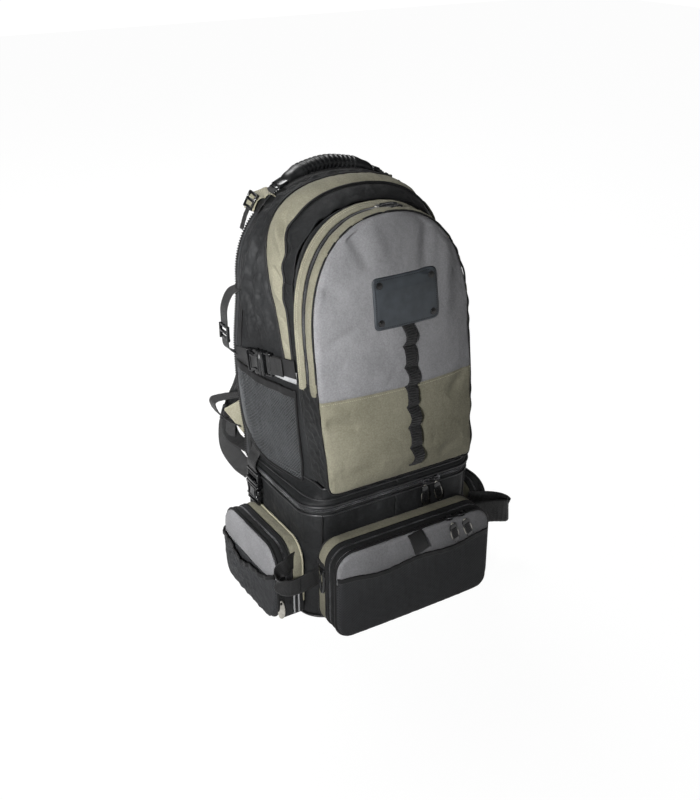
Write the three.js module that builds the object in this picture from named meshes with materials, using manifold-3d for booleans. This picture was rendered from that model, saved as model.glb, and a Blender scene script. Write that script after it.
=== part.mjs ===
// Tackle backpack: a padded pack that zips onto a separate hip pack.
// Millimetres, +Z up, -Y is the front, +Y the harness side, +X the right as seen from the front.
// The origin is the centre of the hip pack's flat base.
import * as THREE from 'three';
import { mergeVertices } from 'three/addons/utils/BufferGeometryUtils.js';
import Module from 'manifold-3d';

const wasm = await Module();
wasm.setup();

// ---- driving dimensions -------------------------------------------------
const clearance = 0.4; // gap between pieces that touch
const wall = 4; // padded fabric wall
const webbing = 25; // narrow webbing width
const webbingThickness = 2.4;

const hip = { width: 264, depth: 196, height: 170, corner: 36, floor: 5 };
const halfHip = hip.width / 2;
const zipBand = { height: 9, proud: 2 };

/** A pocket set in from the hip pack's sides and down from its top, its mesh down from its own top. */
const onHip = (pocket, span) => ({
  ...pocket,
  width: span - 2 * pocket.inset,
  high: hip.height - pocket.drop,
  meshTop: hip.height - pocket.drop - pocket.meshDrop,
});
const frontPocket = onHip(
  { inset: 10, low: 4, drop: 37, depth: 52, corner: 26, face: 12, meshDrop: 37 }, hip.width);
const sidePocket = onHip(
  { inset: 23, low: 6, drop: 51, depth: 46, corner: 30, face: 10, meshDrop: 37 }, hip.depth);
const pocketWall = 3;
const meshSkin = 1.6;
const meshInset = 6; // of a mesh pocket from the edges of the face it is sewn to

const packFoot = hip.height + zipBand.height + 2 * clearance; // underside of the pack
const packHeight = 386.2;
const waistZ = packFoot + 172.2; // height of the side compression straps
const backY = hip.depth / 2 - 20; // outer face of the back panel
const backPad = 14;
// half widths of the pack at its foot, its waist and its shoulders, and its top, all at the back
const main = { foot: halfHip + 5, waist: halfHip + 14, top: halfHip + 7, high: packFoot + packHeight,
  shoulder: 118, corner: 26 };
const sideTaper = 0.00137; // share of its width that the pack loses for each millimetre forwards
const topTaper = 0.0003; // share of its height
const sill = { height: 24.2, below: 3, back: 5, wider: 12, corner: 9 }; // wall under the front panel
const panelFoot = packFoot + sill.height + sill.below; // lower edge of the front panel
const panelFootY = -hip.depth / 2 - 18; // its outer face there
const lean = 0.133; // how far the front leans back for each millimetre up
const panelThickness = 12;
const frontDepth = 45; // front pocket, divider to outer face
const panelFace = (z) => panelFootY + (z - panelFoot) * lean;
const dividerBack = (z) => panelFace(z) + frontDepth;

/** How much narrower and lower the pack is at y than at its back. */
const packTaper = (y) => [1 - (backY - y) * sideTaper, 1 - (backY - y) * topTaper];
const gussetWaist = main.waist * packTaper(dividerBack(waistZ))[0] - 2; // just inside the lid band
const gusset = { foot: gussetWaist - 5, waist: gussetWaist, top: gussetWaist - 8, high: main.high - 17,
  shoulder: 146, corner: 30 };
const panelSeam = waistZ - 21; // seam between the olive and the grey panel
const dividerThickness = 3;

const strapPad = { width: 52, thickness: 11 };
const strapAnchor = { top: 46, footInset: 13 }; // from the middle, and in from the side of the pack
// share of the way outwards, distance behind the back panel, distance below the top
const strapRoute = [[0, 8, 20], [0.08, 30, 66], [0.26, 43, 146], [0.49, 48, 226], [0.74, 52, 294],
  [1, 59, 334]];
const tailRoute = [[4, 2, -7], [11, 0, -24], [10, -15, -42]]; // from the foot of the strap
const tailAnchor = { behind: 6, up: 4.2 };
const beltPad = { width: 84, thickness: 10, reach: 78, inset: 10 };
const belt = { z: 96, strap: 10 };
const meshPocket = { rear: 10, front: 23, foot: 23.2, below: 2, corner: 26, thickness: 3 };
const meshStandOff = 1.8; // the side panel curves a little under it
const sideStrap = { ahead: 2, rear: 6, front: 2.2 }; // of the middle of the side, and short of its edges
const joining = { behindCorner: 12, below: 16, strap: 26 };
const handle = { halfSpan: 60, width: 26, thickness: 12, rise: 17, leanBack: 8, forward: 3, aboveClip: 9 };
const clip = { gap: 5, width: 13, depth: 12, height: 12 };
const loop = { low: 66, width: 36, reach: { left: 46, right: 76 }, gap: 12 };
const snapHook = { low: 62, length: 32, width: 13, thickness: 5 };
const daisy = { loops: 5, rise: 4, width: 19, x: 17 };
const joiningPulls = [44, 62]; // places along the zips, from the middle
const frontPulls = [54, 74];
const sidePullZ = 42;
const topPulls = { x: -4, apart: 11 };
const patch = { width: 98, height: 66, thickness: 2.5, centreX: 11, aboveSeam: 113, corner: 7 };
const pull = { width: 8, length: 29, thickness: 2.4 };
const slider = { width: 9, height: 11, thickness: 5 };
const buckle = { width: 34, thickness: 10, socket: 30, tongue: 20, prong: 12, prongWidth: 6, shell: 2 };

// ---- materials ----------------------------------------------------------
const finish = (color, roughness, metalness = 0) => ({ color, roughness, metalness });
const blackFabric = finish(0x26272a, 0.85);
const oliveFabric = finish(0x77735c, 0.85);
const greyFabric = finish(0x8a868a, 0.85);
const meshFabric = finish(0x1d1e20, 0.95);
const blackWebbing = finish(0x1b1b1d, 0.8);
const blackPlastic = finish(0x151517, 0.45);
const patchLeather = finish(0x43474b, 0.55);
const steel = finish(0xb8b6b2, 0.35, 0.9);

// ---- scene helpers ------------------------------------------------------
const group = new THREE.Group();

/** Adds one named piece to a parent group. */
function piece(name, geometry, look, parent = group) {
  const mesh = new THREE.Mesh(geometry, new THREE.MeshStandardMaterial(look));
  mesh.name = name;
  parent.add(mesh);
  return mesh;
}

/** Runs a builder once for each side: -1 is the left, +1 the right, seen from the front. */
function bothSides(build) {
  build(-1, 'left');
  build(1, 'right');
}

/** A manifold solid from a geometry, and back again. */
function solid(geometry) {
  const bare = geometry.clone();
  bare.deleteAttribute('normal');
  bare.deleteAttribute('uv');
  const merged = mergeVertices(bare, 1e-4);
  const vertProperties = new Float32Array(merged.attributes.position.array);
  const triVerts = new Uint32Array(merged.index.array);
  return new wasm.Manifold(new wasm.Mesh({ numProp: 3, vertProperties, triVerts }));
}

function geometryOf(manifold) {
  const mesh = manifold.getMesh();
  const geometry = new THREE.BufferGeometry();
  geometry.setAttribute('position', new THREE.BufferAttribute(mesh.vertProperties, 3));
  geometry.setIndex(new THREE.BufferAttribute(mesh.triVerts, 1));
  geometry.computeVertexNormals();
  return geometry;
}

/** A box given by its lowest and highest corners. */
function block(low, high) {
  const size = high.map((value, axis) => value - low[axis]);
  const centre = high.map((value, axis) => (value + low[axis]) / 2);
  return new THREE.BoxGeometry(...size).translate(...centre);
}

// ---- the surfaces that part the layers of the pack ----------------------
const panelBack = (z) => panelFace(z) + panelThickness;
const dividerFace = (z) => panelFace(z) + frontDepth - dividerThickness;
const aboveWaist = (z) => Math.max(z - waistZ, 0);
// depth of the black and the olive band at the waist, and their shares of the pack's depth at its top
const band = { foot: 4, topShare: 0.3156 };
const olive = { foot: 15, topShare: 0.4662 };
const topDepth = backY - backPad - dividerBack(main.high);
const flare = ({ foot, topShare }) => (topShare * topDepth - foot) / aboveWaist(main.high);
const bandBack = (z) => dividerBack(z) + band.foot + aboveWaist(z) * flare(band);
const oliveBack = (z) => bandBack(z) + olive.foot + aboveWaist(z) * flare(olive);
const mainFace = (z) => (z > waistZ ? oliveBack(z) : dividerBack(z)) + clearance;
const behind = (surface) => (z) => surface(z) + clearance;
const before = (surface) => (z) => surface(z) - clearance;

// ---- outlines -----------------------------------------------------------
/** A rectangle whose corners are no rounder than its shorter side allows. */
function roundedRect(halfWidth, low, high, corner, path = new THREE.Shape()) {
  const radius = Math.min(corner, halfWidth - 0.01, (high - low) / 2 - 0.01);
  path.moveTo(-halfWidth + radius, low);
  path.lineTo(halfWidth - radius, low);
  path.absarc(halfWidth - radius, low + radius, radius, -Math.PI / 2, 0);
  path.lineTo(halfWidth, high - radius);
  path.absarc(halfWidth - radius, high - radius, radius, 0, Math.PI / 2);
  path.lineTo(-halfWidth + radius, high);
  path.absarc(-halfWidth + radius, high - radius, radius, Math.PI / 2, Math.PI);
  path.lineTo(-halfWidth, low + radius);
  path.absarc(-halfWidth + radius, low + radius, radius, Math.PI, Math.PI * 1.5);
  return path;
}

/** The rounded top of an arch, from the right shoulder to the left one or back. */
function crown(path, half, high, shoulder, way = 1) {
  const side = half * way;
  const start = high - shoulder;
  path.bezierCurveTo(side, high - shoulder * 0.38, side * 0.66, high, 0, high);
  path.bezierCurveTo(-side * 0.66, high, -side, high - shoulder * 0.38, -side, start);
}

/** Height of an arch's crown at a distance from the middle. */
function crownHeight(size, x) {
  const corner = (across, down) => new THREE.Vector2(size.top * across, size.high - size.shoulder * down);
  const curve = new THREE.CubicBezierCurve(corner(1, 1), corner(1, 0.38), corner(0.66, 0), corner(0, 0));
  let low = 0;
  let high = 1;
  for (let i = 0; i < 30; i++) {
    const middle = (low + high) / 2;
    if (curve.getPoint(middle).x > x) low = middle;
    else high = middle;
  }
  return curve.getPoint(low).y;
}

const seam = 0.5; // half height of the step in the pack's front edge at its waist

/** A round-topped outline, closed at its foot. */
function archOutline(size, low, inset = 0, path = new THREE.Shape()) {
  const foot = size.foot - inset;
  const waist = size.waist - inset;
  const top = size.top - inset;
  const floor = low + inset;
  const corner = size.corner;
  path.moveTo(-foot + corner, floor);
  path.lineTo(foot - corner, floor);
  path.quadraticCurveTo(foot, floor, foot, floor + corner);
  path.lineTo(waist, waistZ - seam);
  path.lineTo(waist, waistZ + seam);
  path.lineTo(top, size.high - size.shoulder);
  crown(path, top, size.high - inset, size.shoulder - inset);
  path.lineTo(-waist, waistZ + seam);
  path.lineTo(-waist, waistZ - seam);
  path.lineTo(-foot, floor + corner);
  path.quadraticCurveTo(-foot, floor, -foot + corner, floor);
  return path;
}

/** A band over the top of the pack, open at its foot. */
function archBand(size, low, thickness) {
  const path = new THREE.Shape();
  const start = size.high - size.shoulder;
  path.moveTo(size.waist, low);
  path.lineTo(size.top, start);
  crown(path, size.top, size.high, size.shoulder);
  path.lineTo(-size.waist, low);
  path.lineTo(-size.waist + thickness, low);
  path.lineTo(-size.top + thickness, start);
  crown(path, size.top - thickness, size.high - thickness, size.shoulder - thickness, -1);
  path.lineTo(size.waist - thickness, low);
  return path;
}

// ---- solids from outlines ----------------------------------------------
const archSegments = 7; // steps in each curve of an arch
const rectSegments = 3; // half the steps in a rounded corner

const noTaper = () => [1, 1];
const tapered = { taper: packTaper };
const squared = { corners: rectSegments };

/** An outline in x and z, given thickness between two surfaces y = back(z) and y = front(z). */
function layer(shape, back, front, { taper = noTaper, corners = archSegments } = {}) {
  const options = { depth: 1, bevelEnabled: false, curveSegments: corners };
  const geometry = new THREE.ExtrudeGeometry(shape, options);
  const position = geometry.attributes.position;
  for (let i = 0; i < position.count; i++) {
    const x = position.getX(i);
    const z = position.getY(i);
    const t = position.getZ(i);
    const y = back(z) + t * (front(z) - back(z));
    const [narrower, lower] = taper(y);
    position.setXYZ(i, x * narrower, y, packFoot + (z - packFoot) * lower);
  }
  geometry.computeVertexNormals();
  return geometry;
}

const at = (value) => () => value;

/** An outline in x and y, raised from z = low to z = high. */
function raised(shape, low, high) {
  const options = { depth: high - low, bevelEnabled: false, curveSegments: rectSegments };
  return new THREE.ExtrudeGeometry(shape, options).translate(0, 0, low);
}

/** A flat band that follows a curve; across is the direction of its width. */
function ribbon(curve, across, width, thickness, steps) {
  const geometry = new THREE.BoxGeometry(1, 1, 1, 1, 1, steps);
  const position = geometry.attributes.position;
  const widthAt = typeof width === 'function' ? width : at(width);
  for (let i = 0; i < position.count; i++) {
    const t = position.getZ(i) + 0.5;
    const tangent = curve.getTangent(t);
    const side = across.clone().addScaledVector(tangent, -across.dot(tangent)).normalize();
    const normal = new THREE.Vector3().crossVectors(tangent, side);
    const point = curve.getPoint(t);
    point.addScaledVector(side, position.getX(i) * widthAt(t));
    point.addScaledVector(normal, position.getY(i) * thickness);
    position.setXYZ(i, point.x, point.y, point.z);
  }
  geometry.computeVertexNormals();
  return geometry;
}

const along = (points) => new THREE.CatmullRomCurve3(points.map((p) => new THREE.Vector3(...p)));
const straight = (a, b) => new THREE.LineCurve3(new THREE.Vector3(...a), new THREE.Vector3(...b));
const acrossX = new THREE.Vector3(1, 0, 0);
const acrossY = new THREE.Vector3(0, 1, 0);
const acrossZ = new THREE.Vector3(0, 0, 1);

// ---- hip pack -----------------------------------------------------------
function hipOutline(inset, path) {
  return roundedRect(halfHip - inset, -hip.depth / 2 + inset, hip.depth / 2 - inset,
    hip.corner - inset, path);
}

function hipRing(outset, thickness, low, high) {
  const shape = hipOutline(-outset);
  shape.holes.push(hipOutline(thickness - outset, new THREE.Path()));
  return raised(shape, low, high);
}

function buildHipPack() {
  piece('hip_base', raised(hipOutline(0), 0, hip.floor), blackFabric);
  piece('hip_wall', hipRing(0, wall, hip.floor + clearance, hip.height), blackFabric);
  const low = hip.height + clearance;
  piece('joining_zip', hipRing(zipBand.proud, wall + zipBand.proud, low, low + zipBand.height), blackFabric);
}

/** A zipped pocket that faces -Y, its back at y = 0: a gusset, a face that folds down, a mesh pocket. */
function buildPocket(name, size, parent) {
  const half = size.width / 2;
  const rim = size.depth - size.face;
  const ring = roundedRect(half, size.low, size.high, size.corner);
  const inside = [half - pocketWall, size.low + pocketWall, size.high - pocketWall, size.corner - pocketWall];
  ring.holes.push(roundedRect(...inside, new THREE.Path()));
  piece(`${name}_gusset`, layer(ring, at(-clearance), at(-rim), squared), oliveFabric, parent);
  const face = roundedRect(half, size.low, size.high, size.corner);
  piece(`${name}_face`, layer(face, at(-rim - clearance), at(-size.depth), squared), greyFabric, parent);
  const mesh = roundedRect(half - meshInset, size.low + meshInset, size.meshTop, size.corner - meshInset - 2);
  const skin = size.depth + clearance;
  piece(`${name}_mesh`, layer(mesh, at(-skin), at(-skin - meshSkin), squared), meshFabric, parent);
}

const upright = new THREE.Matrix4();
// lying flat, its free end towards +X
const lying = new THREE.Matrix4().makeBasis(
  new THREE.Vector3(0, 1, 0), new THREE.Vector3(0, 0, -1), new THREE.Vector3(-1, 0, 0));

/** A zip pull that hangs from (x, y, z), its face towards -Y unless it is turned. */
function addPull(name, place, look = blackPlastic, turn = upright) {
  const { width, length, thickness } = pull;
  const shape = roundedRect(width / 2, -length, 0, width / 2 - 0.5);
  shape.holes.push(roundedRect(1.6, -7, -2.5, 1.5, new THREE.Path()));
  const options = { depth: thickness, bevelEnabled: false, curveSegments: 2 };
  const mesh = piece(name, new THREE.ExtrudeGeometry(shape, options).rotateX(Math.PI / 2), look);
  mesh.position.set(...place);
  mesh.setRotationFromMatrix(turn);
}

function addSlider(name, low, size) {
  const high = low.map((value, axis) => value + size[axis]);
  piece(name, block(low, high), blackPlastic);
}

function buildPockets() {
  const front = new THREE.Group();
  front.position.set(0, -hip.depth / 2, 0);
  group.add(front);
  buildPocket('front_pocket', frontPocket, front);
  bothSides((side, name) => {
    const turned = new THREE.Group();
    turned.position.set(side * halfHip, 0, 0);
    turned.rotation.z = side * Math.PI / 2;
    group.add(turned);
    buildPocket(`${name}_pocket`, sidePocket, turned);
  });
}

/** The sliders and pulls of the joining zip and of the three hip-pack pockets. */
function buildHipZips() {
  const zipFront = -hip.depth / 2 - zipBand.proud - clearance;
  const zipLow = hip.height + 1;
  const faceFront = -hip.depth / 2 - frontPocket.depth;
  joiningPulls.forEach((x, index) => {
    const place = [x - slider.width / 2, zipFront - slider.thickness, zipLow];
    addSlider(`joining_slider_${index + 1}`, place, [slider.width, slider.thickness, slider.height - 2]);
    addPull(`joining_pull_${index + 1}`, [x, zipFront - 1, zipLow - clearance]);
  });
  frontPulls.forEach((x, index) => {
    const low = frontPocket.high + clearance;
    const place = [x - slider.width / 2, faceFront - 5, low];
    addSlider(`front_pocket_slider_${index + 1}`, place, [slider.width, 20, slider.thickness]);
    addPull(`front_pocket_pull_${index + 1}`, [x, faceFront - 1, low - clearance]);
  });
  bothSides((side, name) => {
    const x = side * (halfHip + sidePocket.depth - sidePocket.face);
    addPull(`${name}_pocket_pull`, [x, -sidePocket.width / 2 - 1, sidePullZ], steel);
  });
}

/** Half width of the hip pack at y, in its front corners. */
function hipEdge(y) {
  const { depth, corner } = hip;
  return halfHip - corner + Math.sqrt(corner ** 2 - (depth / 2 - corner + y) ** 2);
}

/** A webbing loop that stands out at each front corner, and the snap hook beside the front pocket. */
function buildHipFittings() {
  const z = loop.low + loop.width / 2;
  const near = -sidePocket.width / 2 - 6;
  const far = near - loop.gap;
  const stand = webbingThickness; // clear of the rounded corner of the wall
  bothSides((side, name) => {
    const tip = halfHip + loop.reach[name];
    const points = [[hipEdge(near) + stand, near], [halfHip + 16, near], [tip - 7, near + 1],
      [tip, (near + far) / 2], [tip - 7, far - 1], [halfHip + 12, far], [hipEdge(far) + stand, far]];
    const curve = along(points.map(([x, y]) => [side * x, y, z]));
    piece(`${name}_loop`, ribbon(curve, acrossZ, loop.width, webbingThickness, 14), blackWebbing);
  });
  const { low, length, width, thickness } = snapHook;
  const shape = roundedRect(width / 2, low, low + length, width / 2 - 0.1);
  shape.holes.push(roundedRect(width / 2 - 3, low + 3, low + length - 12, width / 2 - 3.1, new THREE.Path()));
  const hook = layer(shape, at(thickness / 2), at(-thickness / 2), squared).rotateZ(Math.PI / 2);
  const x = -frontPocket.width / 2 - thickness / 2 - clearance;
  piece('snap_hook', hook, blackPlastic).position.set(x, -hip.depth / 2 - width, 0);
}

// ---- side-release buckles -----------------------------------------------
const halfBuckle = buckle.width / 2;
const halfDepth = buckle.thickness / 2;
const flatStrap = (from, to) => block([from, -webbingThickness / 2, -webbing / 2],
  [to, webbingThickness / 2, webbing / 2]);

/** The socket opens at x = 0 and runs back to -X, where its webbing leaves it. */
function socketEnd(strapLength) {
  const back = -buckle.socket;
  const shell = block([back, -halfDepth, -halfBuckle], [0, halfDepth, halfBuckle]);
  const slot = block([back + 6, -halfDepth + buckle.shell, -halfBuckle + buckle.shell],
    [1, halfDepth - buckle.shell, halfBuckle - buckle.shell]);
  const strap = flatStrap(back - strapLength, back + 1);
  return geometryOf(solid(shell).subtract(solid(slot)).add(solid(strap)));
}

/** The tongue's prongs lie inside the socket, and its webbing leaves it towards +X. */
function tongueEnd(strapLength) {
  let tongue = solid(block([clearance, -halfDepth, -halfBuckle], [buckle.tongue, halfDepth, halfBuckle]));
  const thin = halfDepth - buckle.shell - clearance;
  for (const side of [-1, 1]) {
    const outer = side * (halfBuckle - buckle.shell - clearance);
    const inner = outer - side * buckle.prongWidth;
    tongue = tongue.add(solid(block([-buckle.prong, -thin, Math.min(outer, inner)],
      [clearance + 1, thin, Math.max(outer, inner)])));
  }
  return geometryOf(tongue.add(solid(flatStrap(buckle.tongue - 1, buckle.tongue + strapLength))));
}

/** The two halves of the hip belt, folded flat behind the pack, each with its half of the buckle. */
function buildBelt() {
  const y = hip.depth / 2 + beltPad.thickness / 2 + 2;
  const outer = halfHip - beltPad.inset;
  const inner = outer - beltPad.reach;
  bothSides((side, name) => {
    const curve = straight([side * outer, y, belt.z], [side * inner, y, belt.z]);
    const width = (t) => beltPad.width * (1 - 0.45 * t * t);
    piece(`${name}_belt_wing`, ribbon(curve, acrossZ, width, beltPad.thickness, 8), blackFabric);
  });
  const socket = piece('left_belt_buckle', socketEnd(belt.strap), blackPlastic);
  socket.position.set(-inner + clearance + belt.strap + buckle.socket, y, belt.z);
  const tongue = piece('right_belt_buckle', tongueEnd(belt.strap), blackPlastic);
  tongue.position.set(inner - clearance - belt.strap - buckle.tongue, y, belt.z);
}

/** Buckles that hold the pack down on the hip pack at each side. */
function buildJoiningBuckles() {
  const standing = new THREE.Matrix4().makeBasis(acrossZ, acrossX, acrossY);
  const y = hip.depth / 2 - hip.corner - joining.behindCorner;
  bothSides((side, name) => {
    const x = side * (halfHip + zipBand.proud + halfDepth + clearance);
    const socket = piece(`${name}_joining_socket`, socketEnd(2), blackPlastic);
    const tongue = piece(`${name}_joining_tongue`, tongueEnd(joining.strap), blackPlastic);
    for (const half of [socket, tongue]) {
      half.setRotationFromMatrix(standing);
      half.position.set(x, y, hip.height - joining.below);
    }
  });
}

// the side of the pack that the mesh pocket and the compression strap lie on
const taperAngle = Math.atan(main.waist * sideTaper);
const sideRear = backY - meshPocket.rear;
const sideFront = panelFootY + frontDepth + meshPocket.front;
const sideMiddle = (sideRear + sideFront) / 2;

/** Compression straps that run forwards along each side, closed by a buckle. */
function buildSideStraps() {
  const y = sideMiddle - sideStrap.ahead;
  const rear = backY - sideStrap.rear - buckle.socket - y;
  const front = y - buckle.tongue - dividerBack(waistZ) + sideStrap.front;
  bothSides((side, name) => {
    const x = side * (main.waist * packTaper(y)[0] + halfDepth + 1);
    const socket = piece(`${name}_side_socket`, socketEnd(rear), blackPlastic);
    const tongue = piece(`${name}_side_tongue`, tongueEnd(front), blackPlastic);
    for (const half of [socket, tongue]) {
      half.position.set(x, y, waistZ);
      half.rotation.z = -Math.PI / 2 - side * taperAngle;
    }
  });
}

// ---- pack ---------------------------------------------------------------
/** A stretch-mesh bottle pocket on each side, lying flat and empty. */
function buildMeshPockets() {
  const low = packFoot + meshPocket.foot;
  const high = waistZ - halfBuckle - meshPocket.below;
  const inset = (z) => (main.waist - main.foot) * (waistZ - z) / (waistZ - packFoot - main.corner);
  const pocket = layer(roundedRect((sideRear - sideFront) / 2, low, high, meshPocket.corner),
    (z) => inset(z) - meshStandOff, (z) => inset(z) - meshStandOff - meshPocket.thickness, squared);
  bothSides((side, name) => {
    const mesh = piece(`${name}_mesh_pocket`, pocket.clone(), meshFabric);
    mesh.position.set(side * main.waist * packTaper(sideMiddle)[0], sideMiddle, 0);
    mesh.rotation.z = side * (Math.PI / 2 - taperAngle);
  });
}

function buildPack() {
  const backFace = backY - backPad;
  piece('back_panel', layer(archOutline(main, packFoot), at(backY), at(backFace), tapered), blackFabric);
  const shell = archOutline(main, packFoot);
  shell.holes.push(archOutline(main, packFoot, wall, new THREE.Path()));
  piece('main_shell', layer(shell, at(backFace - clearance), mainFace, tapered), blackFabric);
  const arch = archBand(main, waistZ + 2 * seam, wall);
  piece('olive_band', layer(arch, oliveBack, behind(bandBack), tapered), oliveFabric);
  const back = panelFootY + frontDepth - sill.back;
  const outline = roundedRect(gusset.foot + sill.wider, -hip.depth / 2, back, sill.corner);
  piece('front_sill', raised(outline, packFoot, packFoot + sill.height), blackFabric);
}

/** The lid of the main compartment, with the front pocket on it. */
function buildLid() {
  const arch = archBand(main, waistZ + 2 * seam, wall);
  piece('lid_band', layer(arch, bandBack, behind(dividerBack), tapered), blackFabric);
  piece('pocket_divider', layer(archOutline(gusset, panelFoot), dividerBack, dividerFace), blackFabric);
  const ring = archOutline(gusset, panelFoot);
  ring.holes.push(archOutline(gusset, panelFoot, pocketWall, new THREE.Path()));
  piece('front_gusset', layer(ring, before(dividerFace), behind(panelBack)), oliveFabric);
  const zipY = (dividerFace(gusset.high) + panelFace(gusset.high)) / 2;
  [1, -1].forEach((side, index) => {
    const place = [topPulls.x, zipY + side * topPulls.apart / 2, gusset.high + clearance];
    addPull(`top_pull_${index + 1}`, place, blackPlastic, lying);
  });
}

/** The front panel: olive below its seam, grey above, with the patch and the daisy-chain webbing. */
function buildFrontPanel() {
  const whole = solid(layer(archOutline(gusset, panelFoot), panelBack, panelFace));
  const far = 400;
  const above = solid(block([-far, -far, panelSeam - clearance / 2], [far, far, 2 * far]));
  const below = solid(block([-far, -far, 0], [far, far, panelSeam + clearance / 2]));
  piece('olive_panel', geometryOf(whole.subtract(above)), oliveFabric);
  piece('grey_panel', geometryOf(whole.subtract(below)), greyFabric);
  const { width, height, centreX, corner, thickness } = patch;
  const centreZ = panelSeam + patch.aboveSeam;
  const label = roundedRect(width / 2, centreZ - height / 2, centreZ + height / 2, corner);
  const face = before(panelFace);
  const badge = layer(label, face, (z) => face(z) - thickness, squared).translate(centreX, 0, 0);
  piece('blank_patch', badge, patchLeather);
  const points = [];
  const top = centreZ - height / 2 - 1;
  const bottom = panelFoot + 16;
  const waves = 2 * daisy.loops;
  for (let i = 0; i <= waves; i++) {
    const z = top + (bottom - top) * i / waves;
    const proud = clearance + webbingThickness / 2 + (i % 2) * daisy.rise;
    points.push([daisy.x, panelFace(z) - proud - 0.3, z]);
  }
  piece('daisy_chain', ribbon(along(points), acrossX, daisy.width, webbingThickness, 5 * waves), blackWebbing);
}

/** The moulded carrying handle and the clips that hold it. */
function buildHandle() {
  const { halfSpan, width, thickness, leanBack } = handle;
  const y = backY - handle.forward;
  const clipFoot = crownHeight(main, halfSpan + clip.gap) + 2 * clearance;
  const foot = clipFoot + handle.aboveClip;
  const top = foot + handle.rise;
  const haunch = [halfSpan * 0.55, y + leanBack * 0.7, top - 5];
  const curve = along([[-halfSpan, y, foot], [-haunch[0], haunch[1], haunch[2]], [0, y + leanBack, top],
    haunch, [halfSpan, y, foot]]);
  piece('carry_handle', ribbon(curve, acrossY, width, thickness, 12), blackPlastic);
  bothSides((side, name) => {
    const near = side * (halfSpan + clip.gap);
    const far = near + side * clip.width;
    const low = [Math.min(near, far), y - clip.depth / 2, clipFoot];
    const high = [Math.max(near, far), y + clip.depth / 2, clipFoot + clip.height];
    piece(`${name}_handle_clip`, block(low, high), blackPlastic);
  });
}

/** The padded shoulder straps and the webbing that ties their ends to the foot of the pack. */
function buildShoulderStraps() {
  const spread = main.foot - strapAnchor.footInset - strapAnchor.top;
  const points = strapRoute.map(([share, out, down]) =>
    [strapAnchor.top + share * spread, backY + out, main.high - down]);
  const foot = points[points.length - 1];
  const tailPoints = tailRoute.map((offset) => offset.map((value, axis) => value + foot[axis]));
  tailPoints.push([foot[0], backY + tailAnchor.behind, packFoot + tailAnchor.up]);
  bothSides((side, name) => {
    const curve = along(points.map(([x, y, z]) => [side * x, y, z]));
    const width = (t) => strapPad.width * (1 - 0.3 * t);
    piece(`${name}_shoulder_strap`, ribbon(curve, acrossX, width, strapPad.thickness, 14), blackFabric);
    const tail = along(tailPoints.map(([x, y, z]) => [side * x, y, z]));
    piece(`${name}_strap_tail`, ribbon(tail, acrossX, webbing, webbingThickness, 8), blackWebbing);
  });
}

buildHipPack();
buildPockets();
buildHipZips();
buildHipFittings();
buildBelt();
buildJoiningBuckles();
buildPack();
buildMeshPockets();
buildSideStraps();
buildLid();
buildFrontPanel();
buildHandle();
buildShoulderStraps();

export default group;
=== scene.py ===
import math

import bmesh
import bpy
import numpy as np
from mathutils import Matrix, Vector


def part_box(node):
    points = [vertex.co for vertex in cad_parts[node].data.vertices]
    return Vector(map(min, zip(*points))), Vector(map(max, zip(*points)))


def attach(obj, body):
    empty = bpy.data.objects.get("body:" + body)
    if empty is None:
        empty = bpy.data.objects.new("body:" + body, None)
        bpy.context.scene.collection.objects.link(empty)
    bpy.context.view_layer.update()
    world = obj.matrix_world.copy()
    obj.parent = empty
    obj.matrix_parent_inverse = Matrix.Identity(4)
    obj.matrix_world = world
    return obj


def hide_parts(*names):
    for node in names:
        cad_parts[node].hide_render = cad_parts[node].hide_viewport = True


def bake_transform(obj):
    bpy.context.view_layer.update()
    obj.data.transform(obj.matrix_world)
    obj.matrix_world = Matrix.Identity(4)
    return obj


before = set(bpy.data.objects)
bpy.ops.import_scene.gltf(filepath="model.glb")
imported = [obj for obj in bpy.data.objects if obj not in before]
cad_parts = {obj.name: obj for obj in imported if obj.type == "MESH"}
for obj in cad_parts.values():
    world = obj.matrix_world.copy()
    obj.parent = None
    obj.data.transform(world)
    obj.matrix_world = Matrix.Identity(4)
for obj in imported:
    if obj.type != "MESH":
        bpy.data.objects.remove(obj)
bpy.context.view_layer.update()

# Pieces are drawn in millimetres and stored in metres.
MM = 0.001
# One full wave, in radians.
CYCLE = 6.283
# Left, as seen from the front, lies towards -x.
SIDES = ((-1, "left"), (1, "right"))


def corners(node):
    """Lowest and highest corners of a frame node, in millimetres."""
    low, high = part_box(node)
    return np.array(low) / MM, np.array(high) / MM


def top_of(node, back=0.0):
    """Middle of a frame node's top, moved back by some millimetres."""
    low, high = corners(node)
    return (low[0] + high[0]) / 2, (low[1] + high[1]) / 2 + back, high[2]


def stack(*axes):
    """Points made from their separate coordinates."""
    return np.stack(axes, -1)


# ---- driving sizes ----
HIP_HIGH = corners("hip_wall")[1]
HIP_HALF_WIDTH = HIP_HIGH[0]
HIP_HALF_DEPTH = HIP_HIGH[1]
HIP_TOP = HIP_HIGH[2]
HIP_CORNER = 36
# From tooth to tooth on the hip pack's zips.
COIL_PITCH = 1.7
ZIP_LOW, ZIP_HIGH = corners("joining_zip")
BACK_LOW, BACK_HIGH = corners("back_panel")
PACK_FOOT = BACK_LOW[2]
PACK_TOP = BACK_HIGH[2]
BACK_Y = BACK_HIGH[1]
BACK_PAD = BACK_HIGH[1] - BACK_LOW[1]
PANEL_LOW = corners("olive_panel")[0]
PANEL_FOOT = PANEL_LOW[2]
PANEL_FOOT_Y = PANEL_LOW[1]
PANEL_SEAM = corners("grey_panel")[0][2]
GUSSET_TOP = corners("grey_panel")[1][2]
WAIST = PANEL_SEAM + 21
# Millimetres that the front panel leans back for each millimetre of height.
LEAN = 0.133
PANEL_THICKNESS = 12
FRONT_DEPTH = 45
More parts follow.
